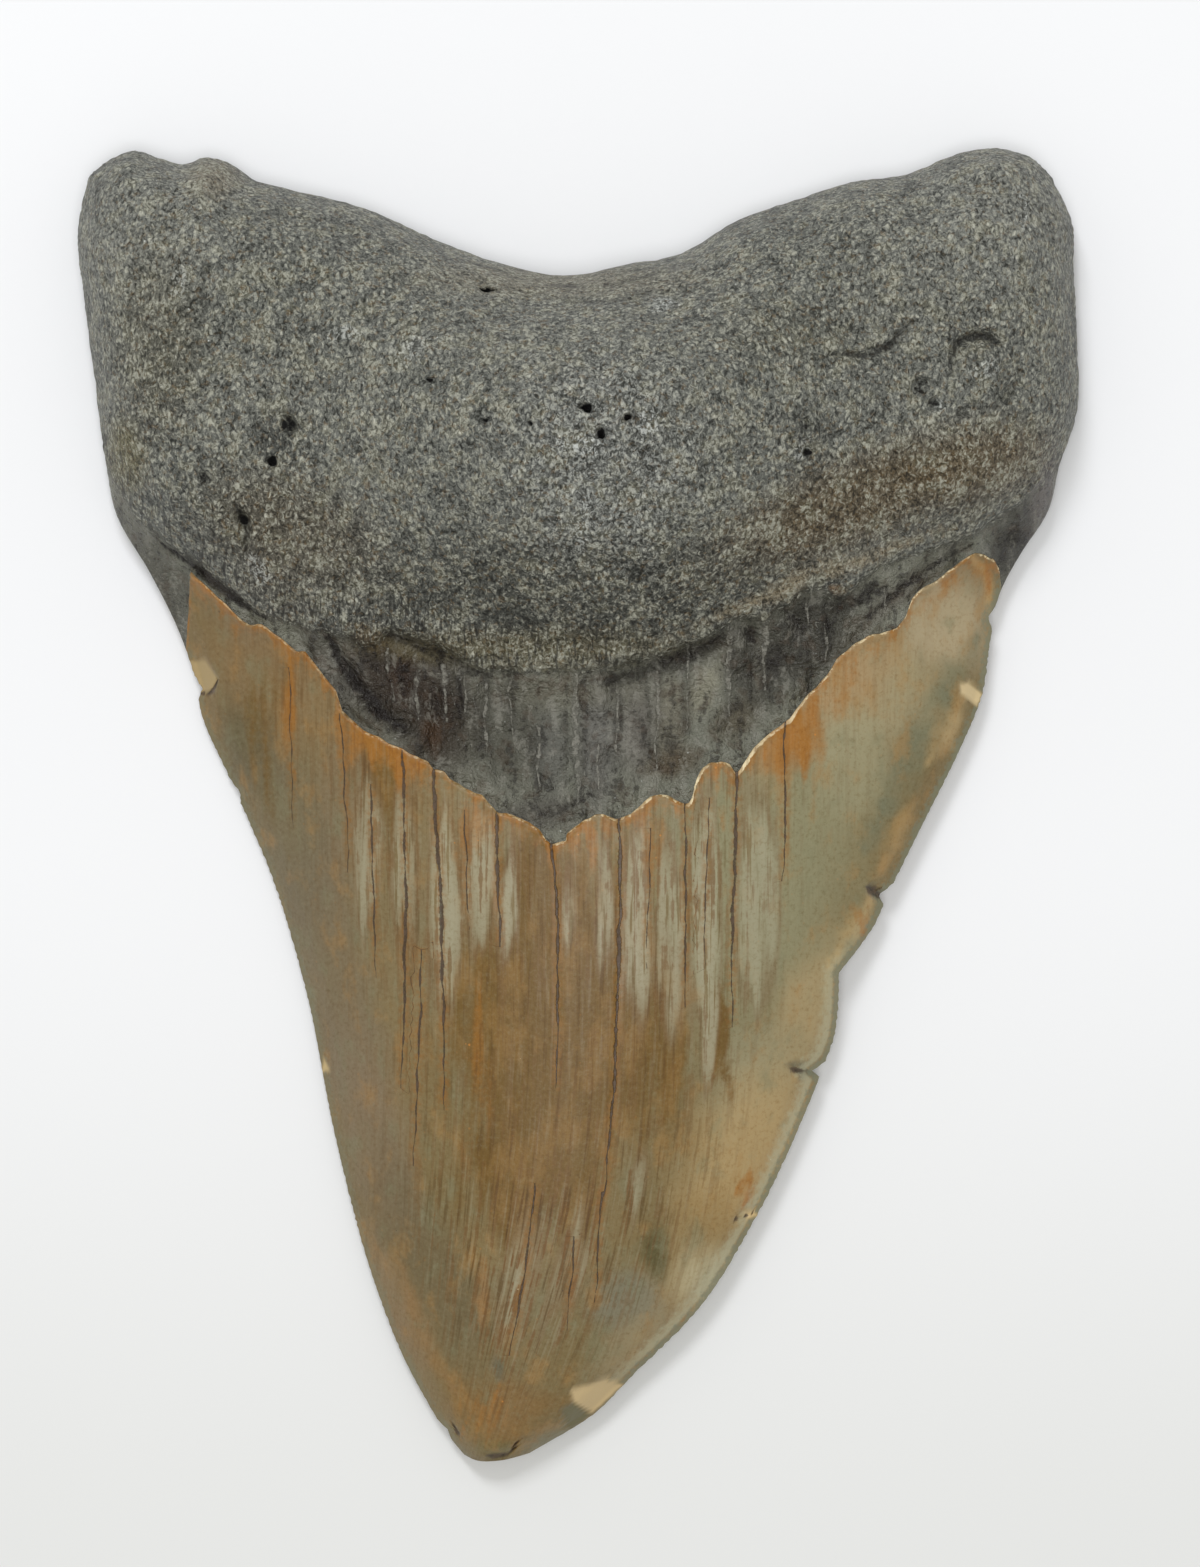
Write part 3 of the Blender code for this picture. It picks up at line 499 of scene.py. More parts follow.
def rough(x, y, size, seed):
    """Smooth noise from -1 to 1 whose bumps are about size apart."""
    return np.array([noise.noise(Vector((px / size, py / size, seed))) for px, py in zip(x, y)])


def round_border(distance, width, fullness=2.0):
    """0 at the rim and 1 from width inwards, along a quarter circle, or a leaner curve at less than 2."""
    t = np.clip(distance / width, 0, 1)
    return (1 - (1 - t) ** fullness) ** (1 / fullness)


def bitten(y, bites):
    """How far the cutting edge is broken back at each height up the tooth."""
    depth = np.zeros_like(y)
    for at, deep, above, below in bites:
        away = np.where(y > at, (y - at) / above, (at - y) / below)
        depth = np.maximum(depth, deep * np.clip(1 - away, 0, 1) ** 1.4)
    return depth


def outline_point(u, v, whole=False):
    """Place in plan of a point u of the way across the tooth and v of the way from its tip to its crest."""
    left_y = mixed(LEFT_FLANK[0][0], LEFT_FLANK[-1][0], v)
    right_y = mixed(RIGHT_FLANK[0][0], RIGHT_FLANK[-1][0], v)
    left_x = smooth_curve(left_y, LEFT_FLANK)
    right_x = smooth_curve(right_y, RIGHT_FLANK)
    if not whole:
        left_x = left_x + bitten(left_y, LEFT_BITES)
        right_x = right_x - bitten(right_y, RIGHT_BITES)
    tip_x = mixed(TIP[0][0], TIP[-1][0], u)
    crest_x = mixed(CREST[0][0], CREST[-1][0], u)

    def patch(left, right, tip, crest, corners):
        tip_left, tip_right, crest_left, crest_right = corners
        bilinear = mixed(mixed(tip_left, tip_right, u), mixed(crest_left, crest_right, u), v)
        return mixed(left, right, u) + mixed(tip, crest, v) - bilinear

    ends = TIP[0], TIP[-1], CREST[0], CREST[-1]
    tip_y = smooth_curve(tip_x, TIP)
    crest_y = smooth_curve(crest_x, CREST)
    x = patch(left_x, right_x, tip_x, crest_x, [end[0] for end in ends])
    y = patch(left_y, right_y, tip_y, crest_y, [end[1] for end in ends])
    return x, y


def nearest_on_line(x, y, line):
    """For each point, the number of the nearest point of a line, and its distance in plan."""
    tree = KDTree(len(line))
    for index, (line_x, line_y) in enumerate(line):
        tree.insert((line_x, line_y, 0), index)
    tree.balance()
    found = [tree.find((px, py, 0)) for px, py in zip(x, y)]
    return np.array([hit[1] for hit in found]), np.array([hit[2] for hit in found])


def sides_of_outline(whole):
    """The left flank, the right flank, the crest and the tip, as points in plan."""
    along = np.linspace(0, 1, OUTLINE_STEPS)
    low, high = np.zeros_like(along), np.ones_like(along)
    ends = (low, along), (high, along), (along, high), (along, low)
    return [np.column_stack(outline_point(u, v, whole)) for u, v in ends]


def distance_to_flanks(x, y):
    """Distance in plan from the nearer flank, with its bites."""
    return nearest_on_line(x, y, np.vstack(sides_of_outline(whole=False)[:2]))[1]


def distances_inward(x, y):
    """Distance from the nearest part of the outline, with its corners eased, and from the tip alone."""
    distances = [nearest_on_line(x, y, side)[1] for side in sides_of_outline(whole=True)]
    nearest = np.array(distances) + 1e-6
    return (nearest**-CORNER_EASE).sum(axis=0) ** (-1 / CORNER_EASE), distances[-1]


def near_strand(x, y, points, width):
    """1 on a curved strand through (x, y) points, and 0 at width from it, or nearer at its ends."""
    along = np.linspace(0, 1, STRAND_STEPS)
    knots = np.linspace(0, 1, len(points))
    strand = np.column_stack([smooth_curve(along, list(zip(knots, places))) for places in zip(*points)])
    low, high = strand.min(axis=0) - 1.5 * width, strand.max(axis=0) + 1.5 * width
    near = (x > low[0]) & (x < high[0]) & (y > low[1]) & (y < high[1])
    level = np.zeros_like(x)
    if near.any():
        index, away = nearest_on_line(x[near], y[near], strand)
        swell = np.sin(math.pi * (0.1 + 0.8 * along))[index]
        waver = 1 + 0.5 * rough(x[near], y[near], 1.2, 3.7)
        level[near] = 1 - ramp(0, 1, away / (width * swell * waver))
    return level


# ---------------------------------------------------------------- the tooth's surface


def ledge_line(x):
    """The broken upper border of the enamel on the lingual face."""
    return straight_line(x, ENAMEL_LEDGE) + 0.12 * rough(x, x * 0, 0.7, 7.7)


def margin_line(x):
    """The lower border of the root's rough surface on the lingual face."""
    return straight_line(x, ROOT_MARGIN) + 0.25 * rough(x, x * 0, 1.1, 3.9)


def labial_ledge_line(x):
    """The border between the root and the enamel on the labial face."""
    return smooth_curve(x, LABIAL_LEDGE) + 0.4 * rough(x, x * 0, 2.0, 9.3)


def growth_place(x, y):
    """Place across the crown, measured so that it stays the same down a growth line."""
    lean = GROWTH_BEND * np.clip(GROWTH_BENDS_BELOW - y, 0, None) ** 3
    return x + lean * mixed(0.35, 1, ramp(-18, -4, x))


def lens(x, y):
    """1 along the middle of the crown and 0 at its cutting edges, and the crown's width."""
    left, right = smooth_curve(y, LEFT_FLANK), smooth_curve(y, RIGHT_FLANK)
    across = np.clip((2 * x - left - right) / (right - left), -1, 1)
    return 1 - across**2, right - left


def root_top(shape, x, y, rim, inward):
    """The lingual face of the root: two lobes with a swelling between them."""
    sideways, tipward, crestward = SWELLING_REACH
    off_x, off_y = x - SWELLING_AT[0], y - SWELLING_AT[1]
    away = (off_x / sideways) ** 2 + (off_y / np.where(off_y < 0, tipward, crestward)) ** 2
    swelling = np.exp(-(away**1.25))
    lobe = shape.lobe_thickness / MM
    full = smooth_curve(y, [(10, 9.0), (22, 11.0), (34, 13.8), (48, lobe), (66, lobe - 0.5)])
    full = full + (shape.root_thickness / MM - lobe + 1) * swelling
    return rim + (full - rim) * round_border(inward, mixed(11, 16, swelling), 1.8)


def furrowed(x, y, furrows):
    """Depth of some furrows."""
    return sum(depth * near_strand(x, y, points, width) for points, width, depth in furrows)


def facet(x, y, corners):
    """1 inside a facet with straight sides and 0 outside it."""
    inside = np.full_like(x, FAR)
    for (from_x, from_y), (to_x, to_y) in zip(corners, corners[1:] + corners[:1]):
        run, rise = to_x - from_x, to_y - from_y
        inside = np.minimum(inside, (run * (y - from_y) - rise * (x - from_x)) / math.hypot(run, rise))
    return ramp(-0.25, 0.25, inside)


def from_pit(x, y, pit):
    """Distance from the middle of a ragged hole, as a share of its radius."""
    pit_x, pit_y, radius, _ = pit
    off_x = x - pit_x + 0.3 * rough(x, y, 0.9, 3.3)
    off_y = y - pit_y + 0.3 * rough(x, y, 0.9, 7.3)
    return np.hypot(off_x, off_y) / radius


def pit_shade_levels(x, y):
    """Level from 0 to 1 of painted shade inside the holes for vessels, by their steepness."""
    level = np.zeros_like(x)
    for pit in PITS:
        _, _, radius, depth = pit
        steep = min(0.7 * depth / radius, 1)
        level = np.maximum(level, steep * (1 - ramp(0.55, 1.1, from_pit(x, y, pit))))
    return level


def root_relief(x, y):
    """Height of the lumps, pits, bosses and furrows of the root's lingual face."""
    relief = 0.6 * rough(x, y, 9.0, 3.1) + 0.45 * rough(x, y, 3.0, 8.4) + 0.3 * rough(x, y, 1.3, 1.7)
    for pit in PITS:
        relief -= pit[3] * (1 - ramp(0.6, 1.15, from_pit(x, y, pit)))
    for boss_x, boss_y, radius, high in BOSSES:
        relief += high * (1 - ramp(0, 1, np.hypot(x - boss_x, y - boss_y) / radius))
    return relief - furrowed(x, y, ROOT_FURROWS)


def lines_of(x, y, lines, wander):
    """Sideways distance from the nearest of some upright lines, and that line's half width there."""
    offset, half_width = np.full_like(x, FAR), np.zeros_like(x)
    for index, (top_x, top_y, foot_x, foot_y, bow, line_width) in enumerate(lines):
        t = (y - foot_y) / (top_y - foot_y)
        away = x - mixed(foot_x, top_x, t) - 4 * bow * t * (1 - t)
        near = (t > 0) & (t < 1.03) & (np.abs(away) < 2)
        place, level = y[near], np.full(near.sum(), 5.0 * index)
        away[near] -= wander * (0.25 * rough(level, place, 2.6, 6.2) + 0.09 * rough(level, place, 0.9, 1.2))
        ends = ramp(0, 0.4, t) * (1 - ramp(1.0, 1.03, t))
        nearer = near & (np.abs(away) < np.abs(offset))
        offset = np.where(nearer, away, offset)
        reach = 1 - ramp(0.6 * LINE_REACH, LINE_REACH, np.abs(away))
        half_width = np.where(nearer, line_width * mixed(0.35, 1, ends) * reach * (ends > 0), half_width)
    return offset, half_width


def crack_lines(x, y):
    """Distance from the nearest crack of the enamel, and its half width."""
    return lines_of(x, y, CRACKS, CRACK_WANDER)


def ridge_lines(x, y):
    """Distance from the nearest fine ridge of the dental band, and its half width."""
    lines = [(at, top, at + RIDGE_LEAN, foot, 0.0, width) for at, top, foot, width in BAND_RIDGES]
    return lines_of(x, y, lines, RIDGE_WANDER)


def crack_depth(x, y):
    """Depth of the wide cracks in the enamel."""
    offset, half_width = crack_lines(x, y)
    wide = np.where(half_width > DEEP_CRACK, half_width, 0)
    return 0.9 * wide * (1 - ramp(0, 1, np.abs(offset) / (1.8 * wide + 1e-6)))


def band_relief(x, y):
    """Height of the fine ridges, flutes and furrows of the dental band."""
    relief = 0.6 * rough(x, y * 0.3, 1.7, 4.4) + 0.3 * rough(x, y * 0.5, 0.9, 9.1) + rough(x, y, 2.4, 2.9)
    offset, half_width = ridge_lines(x, y)
    relief += 1.1 * half_width * (1 - ramp(0, 1, np.abs(offset) / (2.2 * half_width + 1e-6)))
    return relief + furrowed(x, y, BAND_RISES) - furrowed(x, y, BAND_FURROWS)


def lingual_height(shape, x, y, rim, inward, from_tip):
    """The face that looks up: crown, dental band and root, with their steps, relief and damage."""
    ledge, margin = ledge_line(x), margin_line(x)
    ridge = [
        (-66, shape.tip_thickness / MM), (-56, 6.6), (-42, 9.4), (-22, 12.2),
        (0, shape.crown_thickness / MM), (30, 16),
    ]
    fullness, _ = lens(x, y)
    crown = rim + (smooth_curve(y, ridge) - rim) * fullness * round_border(from_tip + 0.6, 2.5)
    rootness = ramp(smooth_curve(x, ENAMEL_ARCH) - 3, smooth_curve(x, ROOT_SLOPE) + 6, y)
    height = mixed(crown, root_top(shape, x, y, rim, inward), rootness)
    from_edge = ramp(0, 2.5, inward)
    on_enamel = 1 - ramp(ledge - LEDGE_SOFTNESS, ledge + LEDGE_SOFTNESS, y)
    on_root = ramp(margin - MARGIN_SOFTNESS, margin + MARGIN_SOFTNESS, y)
    lip = 0.12 * np.exp(-(((y - ledge + 0.3) / 0.35) ** 2))
    growth = growth_place(x, y)
    flutes = 0.06 * rough(growth, y * 0.05, 1.6, 5.5) + 0.03 * rough(growth, y * 0.1, 0.7, 3.3)
    height += (shape.enamel_step / MM + flutes + lip) * from_edge * on_enamel
    height += (shape.root_step / MM * from_edge + root_relief(x, y) * ramp(0, 4, inward)) * on_root
    height += band_relief(x, y) * (1 - on_enamel) * (1 - on_root) * from_edge
    chipped = furrowed(x, y, NICKS) + sum(depth * facet(x, y, corners) for _, corners, depth in CHIPS)
    return height - (crack_depth(x, y) + chipped * ramp(0.1, 0.8, inward)) * on_enamel


def labial_height(x, y, rim, inward, from_tip):
    """The face that the tooth lies on: flat in the middle, curling up to the rim."""
    fullness, width = lens(x, y)
    into_crown = np.minimum(fullness * width / 4, mixed(from_tip, CROWN_CURL, 0.4))
    crown_curl = np.clip(1 - into_crown / CROWN_CURL, 0, 1) ** 2
    root_curl = 1 - round_border(inward, ROOT_CURL)
    ledge = smooth_curve(x, LABIAL_LEDGE)
    curl = mixed(crown_curl, root_curl, ramp(ledge - 9, ledge + 9, y))
    wear = 0.25 + 0.15 * rough(x, y, 5.0, 2.8) + 0.1 * rough(x, y, 1.5, 6.8)
    on_root = ramp(-0.3, 0.3, y - labial_ledge_line(x))
    return rim * curl + np.clip(wear, 0, None) * on_root * ramp(0, 2.5, inward)


# ---------------------------------------------------------------- the mesh


def crowded(share):
    """Moves places from -1 to 1 outwards, so that cells are narrower by the rim."""
    return math.sin(CELL_CROWDING * share) / math.sin(CELL_CROWDING)


def slab(shape):
    """A flat grid with a thickness: u runs along X and v along Y from 0 to 1, and Z tells its two faces."""
    mesh = bmesh.new()
    bmesh.ops.create_grid(mesh, x_segments=shape.columns, y_segments=shape.rows, size=0.5)
    for vert in mesh.verts:
        vert.co.x = 0.5 + 0.5 * crowded(2 * vert.co.x)
        vert.co.y = crowded(vert.co.y + 0.5)
    bmesh.ops.solidify(mesh, geom=mesh.faces[:], thickness=1.0)
    mesh.verts.index_update()
    return mesh


def plan_of(mesh):
    """Each slab point's place in plan, and whether it is on the lingual face."""
    flat = np.array([vert.co for vert in mesh.verts])
    x, y = outline_point(flat[:, 0], flat[:, 1])
    return x, y, flat[:, 2] > flat[:, 2].mean()


def refine(mesh, wanted):
    """Halves the cells whose corners are all wanted, a true or false for each point."""
    edges = [edge for edge in mesh.edges if all(wanted[vert.index] for vert in edge.verts)]
    bmesh.ops.subdivide_edges(mesh, edges=edges, cuts=1, use_grid_fill=True)
    mesh.verts.index_update()


def refine_details(mesh):
    """Halves every lingual cell, and again those by the ledge, the edges, the pits and the cracks."""
    refine(mesh, plan_of(mesh)[2])
    x, y, lingual = plan_of(mesh)
    near_edge = (y < EDGE_TOP) & (distance_to_flanks(x, y) < NEAR_EDGE)
    near_ledge = np.abs(y - straight_line(x, ENAMEL_LEDGE)) < NEAR_LEDGE
    near_pit = np.zeros(len(x), bool)
    for pit_x, pit_y, radius, _ in PITS:
        near_pit |= np.hypot(x - pit_x, y - pit_y) < 1.4 * radius + 0.3
    near_pit |= sum(facet(x, y, corners) for _, corners, _ in CHIPS) > 0
    refine(mesh, lingual & (near_ledge | near_pit) | near_edge)
    x, y, lingual = plan_of(mesh)
    refine(mesh, lingual & (crack_depth(x, y) > 0) & (y < straight_line(x, ENAMEL_LEDGE) - 0.5))


def shape_tooth(mesh, shape):
    """Moves the slab's points onto the tooth. Gives the numbers that the material needs at each of them."""
    x, y, lingual = plan_of(mesh)
    u = np.array([vert.co.x for vert in mesh.verts])
    inward, from_tip = distances_inward(x, y)
    rim = mixed(smooth_curve(y, LEFT_RIM), smooth_curve(y, RIGHT_RIM), u)
    half_edge = shape.edge_thickness / MM / 2
    upper = lingual_height(shape, x, y, rim + half_edge, inward, from_tip)
    lower = labial_height(x, y, rim - half_edge, inward, from_tip)
    z = np.where(lingual, upper, lower)
    for vert, place in zip(mesh.verts, np.column_stack([x, y, z]) * MM):
        vert.co = place
    labial_ledge = labial_ledge_line(x)
    over_ledge = np.where(lingual, y - ledge_line(x), y - labial_ledge)
    over_margin = np.where(lingual, y - margin_line(x), y - labial_ledge - 0.1)
    flank = distance_to_flanks(x, y)
    crack_offset, crack_width = crack_lines(x, y)
    ridge_offset, ridge_width = ridge_lines(x, y)
    on_enamel = over_ledge < 0.3
    climb = ramp(0.1, 0.9, ledge_line(x + 0.3) - ledge_line(x - 0.3))
    below_root = 1 - ramp(EDGE_TOP - 3, EDGE_TOP, y)
    return {
        "over_ledge": over_ledge,
        "over_margin": over_margin,
        "growth": growth_place(x, y),
        "from_edge": flank,
        "line_offset": np.where(on_enamel, crack_offset, ridge_offset),
        "line_width": np.where(on_enamel, crack_width, ridge_width) * lingual,
        "serrated": (1 - ramp(0.1, 0.9, flank)) * below_root * ramp(0.5, 3, from_tip),
        "grainy": ramp(-0.2, 0.6, over_margin) * np.where(lingual, 1.0, 0.6),
        # Where the ledge rises to the right, so that its step faces the key light; the lip is painted
        # thicker there as highlight.
        "rising_to_light": climb * ramp(4, 8, x) * ramp(24, 20, x) * lingual,
        **stained(x, y, lingual),
    }


# ---------------------------------------------------------------- stains, painted shade and painted highlights


def oval(x, y, centre, half_size, turn, softness=0.6):
    """1 inside an oval place and 0 outside it, with a soft border. The turn is in degrees."""
    along_x, along_y = math.cos(math.radians(turn)), math.sin(math.radians(turn))
    off_x, off_y = x - centre[0], y - centre[1]
    long_way = (off_x * along_x + off_y * along_y) / half_size[0]
    short_way = (off_y * along_x - off_x * along_y) / half_size[1]
    return 1 - ramp(1 - softness, 1 + softness, np.hypot(long_way, short_way))


def painted(ground, x, y, stains):
    """The ground with some oval stains on it."""
    for colour, centre, half_size, turn, strength in stains:
        share = strength * oval(x, y, centre, half_size, turn)
        ground = mixed(ground, tone(colour), share[:, None])
    return ground


def striped(ground, x, y, stripes):
    """The ground with some soft, blotchy stripes on it."""
    blotches = np.clip(0.85 + 0.9 * rough(x, y, 1.7, 5.5), 0, 1)
    for colour, points, width, strength in stripes:
        share = strength * near_strand(x, y, points, width) * blotches
        ground = mixed(ground, tone(colour), share[:, None])
    return ground


def strongest(x, y, spots):
    """Level from 0 to 1 of the strongest of some oval spots at each point."""
    level = np.zeros_like(x)
    for centre, half_size, turn, strength in spots:
        level = np.maximum(level, strength * oval(x, y, centre, half_size, turn))
    return level


def shaded(x, y, furrows):
    """Level from 0 to 1 of painted shade in some furrows, by their depth."""
    level = np.zeros_like(x)
    for points, width, depth in furrows:
        steep = min(1, 0.25 + depth / width)
        level = np.maximum(level, steep * near_strand(x, y, points, 1.15 * width))
    return level


def stained(x, y, lingual):
    """Colours of the enamel and of the parts above it, among them painted shade and highlights, and levels
    of what the material adds to them, among them painted shade and glints.
    """
    near_x = x + 1.3 * rough(x, y, 4.0, 2.1) + 0.5 * rough(x, y, 1.2, 4.1)
    near_y = y + 1.3 * rough(x, y, 4.0, 6.1) + 0.5 * rough(x, y, 1.2, 8.1)
    growth = growth_place(x, y)
    drawn = y + 5.0 * rough(growth, y * 0.06, 1.5, 7.3) + 2.5 * rough(growth, y * 0.1, 0.6, 1.9)
    cloud = 0.5 + 0.5 * rough(x, y, 11.0, 5.7)
    plain = mixed(tone(ENAMEL_TONES[0]), tone(ENAMEL_TONES[1]), cloud[:, None])
    grey = mixed(tone(GREY_TONES[0]), tone(GREY_TONES[1]), cloud[:, None])
    close_x, close_y = x + 0.3 * rough(x, y, 1.2, 4.1), y + 0.3 * rough(x, y, 1.2, 8.1)
    enamel = striped(painted(plain, near_x, near_y, STAINS), close_x, close_y, STRIPES)
    for colour, corners, _ in CHIPS:
        enamel = mixed(enamel, tone(colour), facet(x, y, corners)[:, None])
    stained_grey = striped(painted(grey, close_x, close_y, GREY_STAINS), close_x, close_y, GREY_STRIPES)
    face = lingual[:, None]
    return {
        "enamel_ground": np.where(face, enamel, plain),
        "grey_ground": np.where(face, stained_grey, grey),
        "ochre": np.where(lingual, strongest(near_x, drawn, OCHRE), 0.7 * ramp(0.4, 0.8, cloud)),
        "rust": np.where(lingual, strongest(near_x, drawn, RUST), 0.5 * ramp(0.5, 0.9, cloud)),
        "pale": np.where(lingual, strongest(growth, drawn, PALE), 0.5 * ramp(0.6, 0.3, cloud)),
        "shade": shaded(x, y, BAND_FURROWS + ROOT_FURROWS + NICKS) * lingual,
        "chipped": sum(facet(x, y, corners) for _, corners, _ in CHIPS) * lingual,
        "gloss_and_glint": strongest(near_x, near_y, GLOSS_AND_GLINT_SPOTS) * lingual,
        # Lumps of the mesh's relief, which the material uses to lighten the root's tops and darken its
        # hollows: painted shade.
        "lump_shade": 0.6 * rough(x, y, 3.0, 8.4) + 0.4 * rough(x, y, 1.3, 1.7),
        "pit": pit_shade_levels(x, y) * lingual,
    }


def put_attributes(data, values):
    """Stores a number or a colour for each point under each name."""
    for name, numbers in values.items():
        coloured = numbers.ndim == 2
        attribute = data.attributes.new(name, "FLOAT_COLOR" if coloured else "FLOAT", "POINT")
        attribute.data.foreach_set("color" if coloured else "value", numbers.astype(np.float32).ravel())


class Wiring:
    """Adds nodes to one tree and joins them. An input is given as a socket or as a plain value."""

    def __init__(self, tree):
        self.tree = tree

    def feed(self, socket, value):
        if isinstance(value, bpy.types.NodeSocket):
            self.tree.links.new(value, socket)
        else:
            socket.default_value = value

    def put(self, kind, inputs=None, **settings):
        node = self.tree.nodes.new(kind)
        for name, value in settings.items():
            setattr(node, name, value)
        for key, value in (inputs or {}).items():
            self.feed(node.inputs[key], value)
        return node

    def math(self, operation, *values):
        return self.put("ShaderNodeMath", dict(enumerate(values)), operation=operation).outputs[0]

    def vector_math(self, operation, *values):
        node = self.put("ShaderNodeVectorMath", dict(enumerate(values)), operation=operation)
        return node.outputs["Vector"]

    def scaled(self, vector, factor):
        inputs = {"Vector": vector, "Scale": factor}
        return self.put("ShaderNodeVectorMath", inputs, operation="SCALE").outputs["Vector"]

    def span(self, value, low, high, start=0.0, end=1.0):
        """start where value is low, end where it is high, and smooth between."""
        inputs = {"Value": value, "From Min": low, "From Max": high, "To Min": start, "To Max": end}
        return self.put("ShaderNodeMapRange", inputs, interpolation_type="SMOOTHSTEP").outputs[0]

    def times(self, *values):
        product = values[0]
        for value in values[1:]:
            product = self.math("MULTIPLY", product, value)
        return product

    def mix(self, share, first, second, blend="MIX"):
        node = self.put("ShaderNodeMix", data_type="RGBA", blend_type=blend)
        self.feed(node.inputs["Factor"], share)
        colours = [socket for socket in node.inputs if socket.type == "RGBA"]
        self.feed(colours[0], first)
        self.feed(colours[1], second)
        return next(socket for socket in node.outputs if socket.type == "RGBA")

    def noise(self, vector, scale, detail=2.0, roughness=0.5, distortion=0.0):
        inputs = {
            "Vector": vector, "Scale": scale, "Detail": detail,
            "Roughness": roughness, "Distortion": distortion,
        }
        return self.put("ShaderNodeTexNoise", inputs).outputs["Fac"]

    def centred(self, noise_value):
        """A noise from 0 to 1, moved to lie on both sides of 0."""
        return self.math("SUBTRACT", noise_value, 0.5)

    def joined(self, x, y, z=0.0):
        return self.put("ShaderNodeCombineXYZ", {"X": x, "Y": y, "Z": z}).outputs[0]

    def group(self, tree, inputs):
        return self.put("ShaderNodeGroup", inputs, node_tree=tree).outputs


def start_group(name, inputs, outputs, kind="ShaderNodeTree"):
    """A new node group with named sockets, its wiring, its input's outputs and its output node."""
    tree = bpy.data.node_groups.new(name, kind)
    for label, socket_type, default in inputs:
        socket = tree.interface.new_socket(label, in_out="INPUT", socket_type=socket_type)
        if default is not None:
            socket.default_value = default
    for label, socket_type in outputs:
        tree.interface.new_socket(label, in_out="OUTPUT", socket_type=socket_type)
    wires = Wiring(tree)
    return tree, wires, wires.put("NodeGroupInput").outputs, wires.put("NodeGroupOutput")


FLOAT, VECTOR = "NodeSocketFloat", "NodeSocketVector"


def worn_surface_nodes():
    """Geometry nodes that cut the worn serrations and raise the root's grain along the surface's normal."""
    inputs = [
        ("Geometry", "NodeSocketGeometry", None), ("Serration Pitch", FLOAT, 0.001),
        ("Serration Depth", FLOAT, 0.0001), ("Grain Size", FLOAT, 0.001), ("Grain Height", FLOAT, 0.0001),
        ("Seed", FLOAT, 0.0), ("Material", "NodeSocketMaterial", None),
    ]
    outputs = [("Geometry", "NodeSocketGeometry")]
    tree, wires, given, result = start_group("worn_surface", inputs, outputs, "GeometryNodeTree")

    def field(name):
        node = wires.put("GeometryNodeInputNamedAttribute", {"Name": name}, data_type="FLOAT")
        return node.outputs["Attribute"]

    place = wires.put("GeometryNodeInputPosition").outputs[0]
    normal = wires.put("GeometryNodeInputNormal").outputs[0]
    height_up = wires.put("ShaderNodeSeparateXYZ", {0: place}).outputs["Y"]
    wander = wires.noise(place, scale=260.0)
    steps = wires.math("DIVIDE", height_up, given["Serration Pitch"])
    turns = wires.math("ADD", steps, wires.times(wander, 3.0))
    wave = wires.math("SINE", wires.times(turns, math.tau))
    worn = wires.span(wires.noise(place, scale=140.0), 0.35, 0.65, 0.25, 1.0)
    below = wires.math("SUBTRACT", wave, 1.0)
    notch = wires.times(below, given["Serration Depth"], worn, field("serrated"))
    outward = wires.vector_math("NORMALIZE", wires.vector_math("MULTIPLY", normal, (1.0, 1.0, 0.0)))
    moved = wires.vector_math("ADD", place, wires.joined(given["Seed"], 0.0, 0.0))
    grain_scale = wires.math("DIVIDE", 1.0, given["Grain Size"])
    grain = wires.noise(moved, grain_scale, detail=3.0, roughness=0.6)
    bump = wires.times(wires.centred(grain), 2.0, given["Grain Height"], field("grainy"))
    offset = wires.vector_math("ADD", wires.scaled(outward, notch), wires.scaled(normal, bump))
    set_place = wires.put("GeometryNodeSetPosition", {"Geometry": given["Geometry"], "Offset": offset})
    real = wires.put("GeometryNodeRealizeInstances", {"Geometry": set_place.outputs[0]})
    inputs = {"Geometry": real.outputs[0], "Material": given["Material"]}
    wires.feed(result.inputs[0], wires.put("GeometryNodeSetMaterial", inputs).outputs[0])
    return tree


def wear_down(piece, shape, material):
    """Runs the worn-surface nodes on a piece and keeps their result as a plain mesh."""
    modifier = piece.modifiers.new("worn_surface", "NODES")
    modifier.node_group = worn_surface_nodes()
    values = {
        "Serration Pitch": shape.serration_pitch,
        "Serration Depth": shape.serration_depth,
        "Grain Size": shape.grain_size,
        "Grain Height": shape.grain_height,
        "Seed": 4.0,
        "Material": material,
    }
    for socket in modifier.node_group.interface.items_tree:
        if socket.in_out == "INPUT" and socket.name in values:
            modifier[socket.identifier] = values[socket.name]
    graph = bpy.context.evaluated_depsgraph_get()
    data = bpy.data.meshes.new_from_object(piece.evaluated_get(graph), depsgraph=graph)
    piece.modifiers.clear()
    piece.data = data
    data.name = piece.name


# ---------------------------------------------------------------- effects that the material repeats


def streaks_group():
    """Noise drawn out along the growth lines."""
    inputs = [
        ("Growth", FLOAT, 0.0), ("Up", FLOAT, 0.0), ("Width", FLOAT, 1.0), ("Length", FLOAT, 10.0),
        ("Seed", FLOAT, 0.0),
    ]
    tree, wires, given, result = start_group("streaks", inputs, [("Value", FLOAT)])
    across = wires.math("DIVIDE", given["Growth"], given["Width"])
    along = wires.math("DIVIDE", given["Up"], given["Length"])
    place = wires.joined(across, along, given["Seed"])
    wires.feed(result.inputs[0], wires.noise(place, scale=1.0))
    return tree


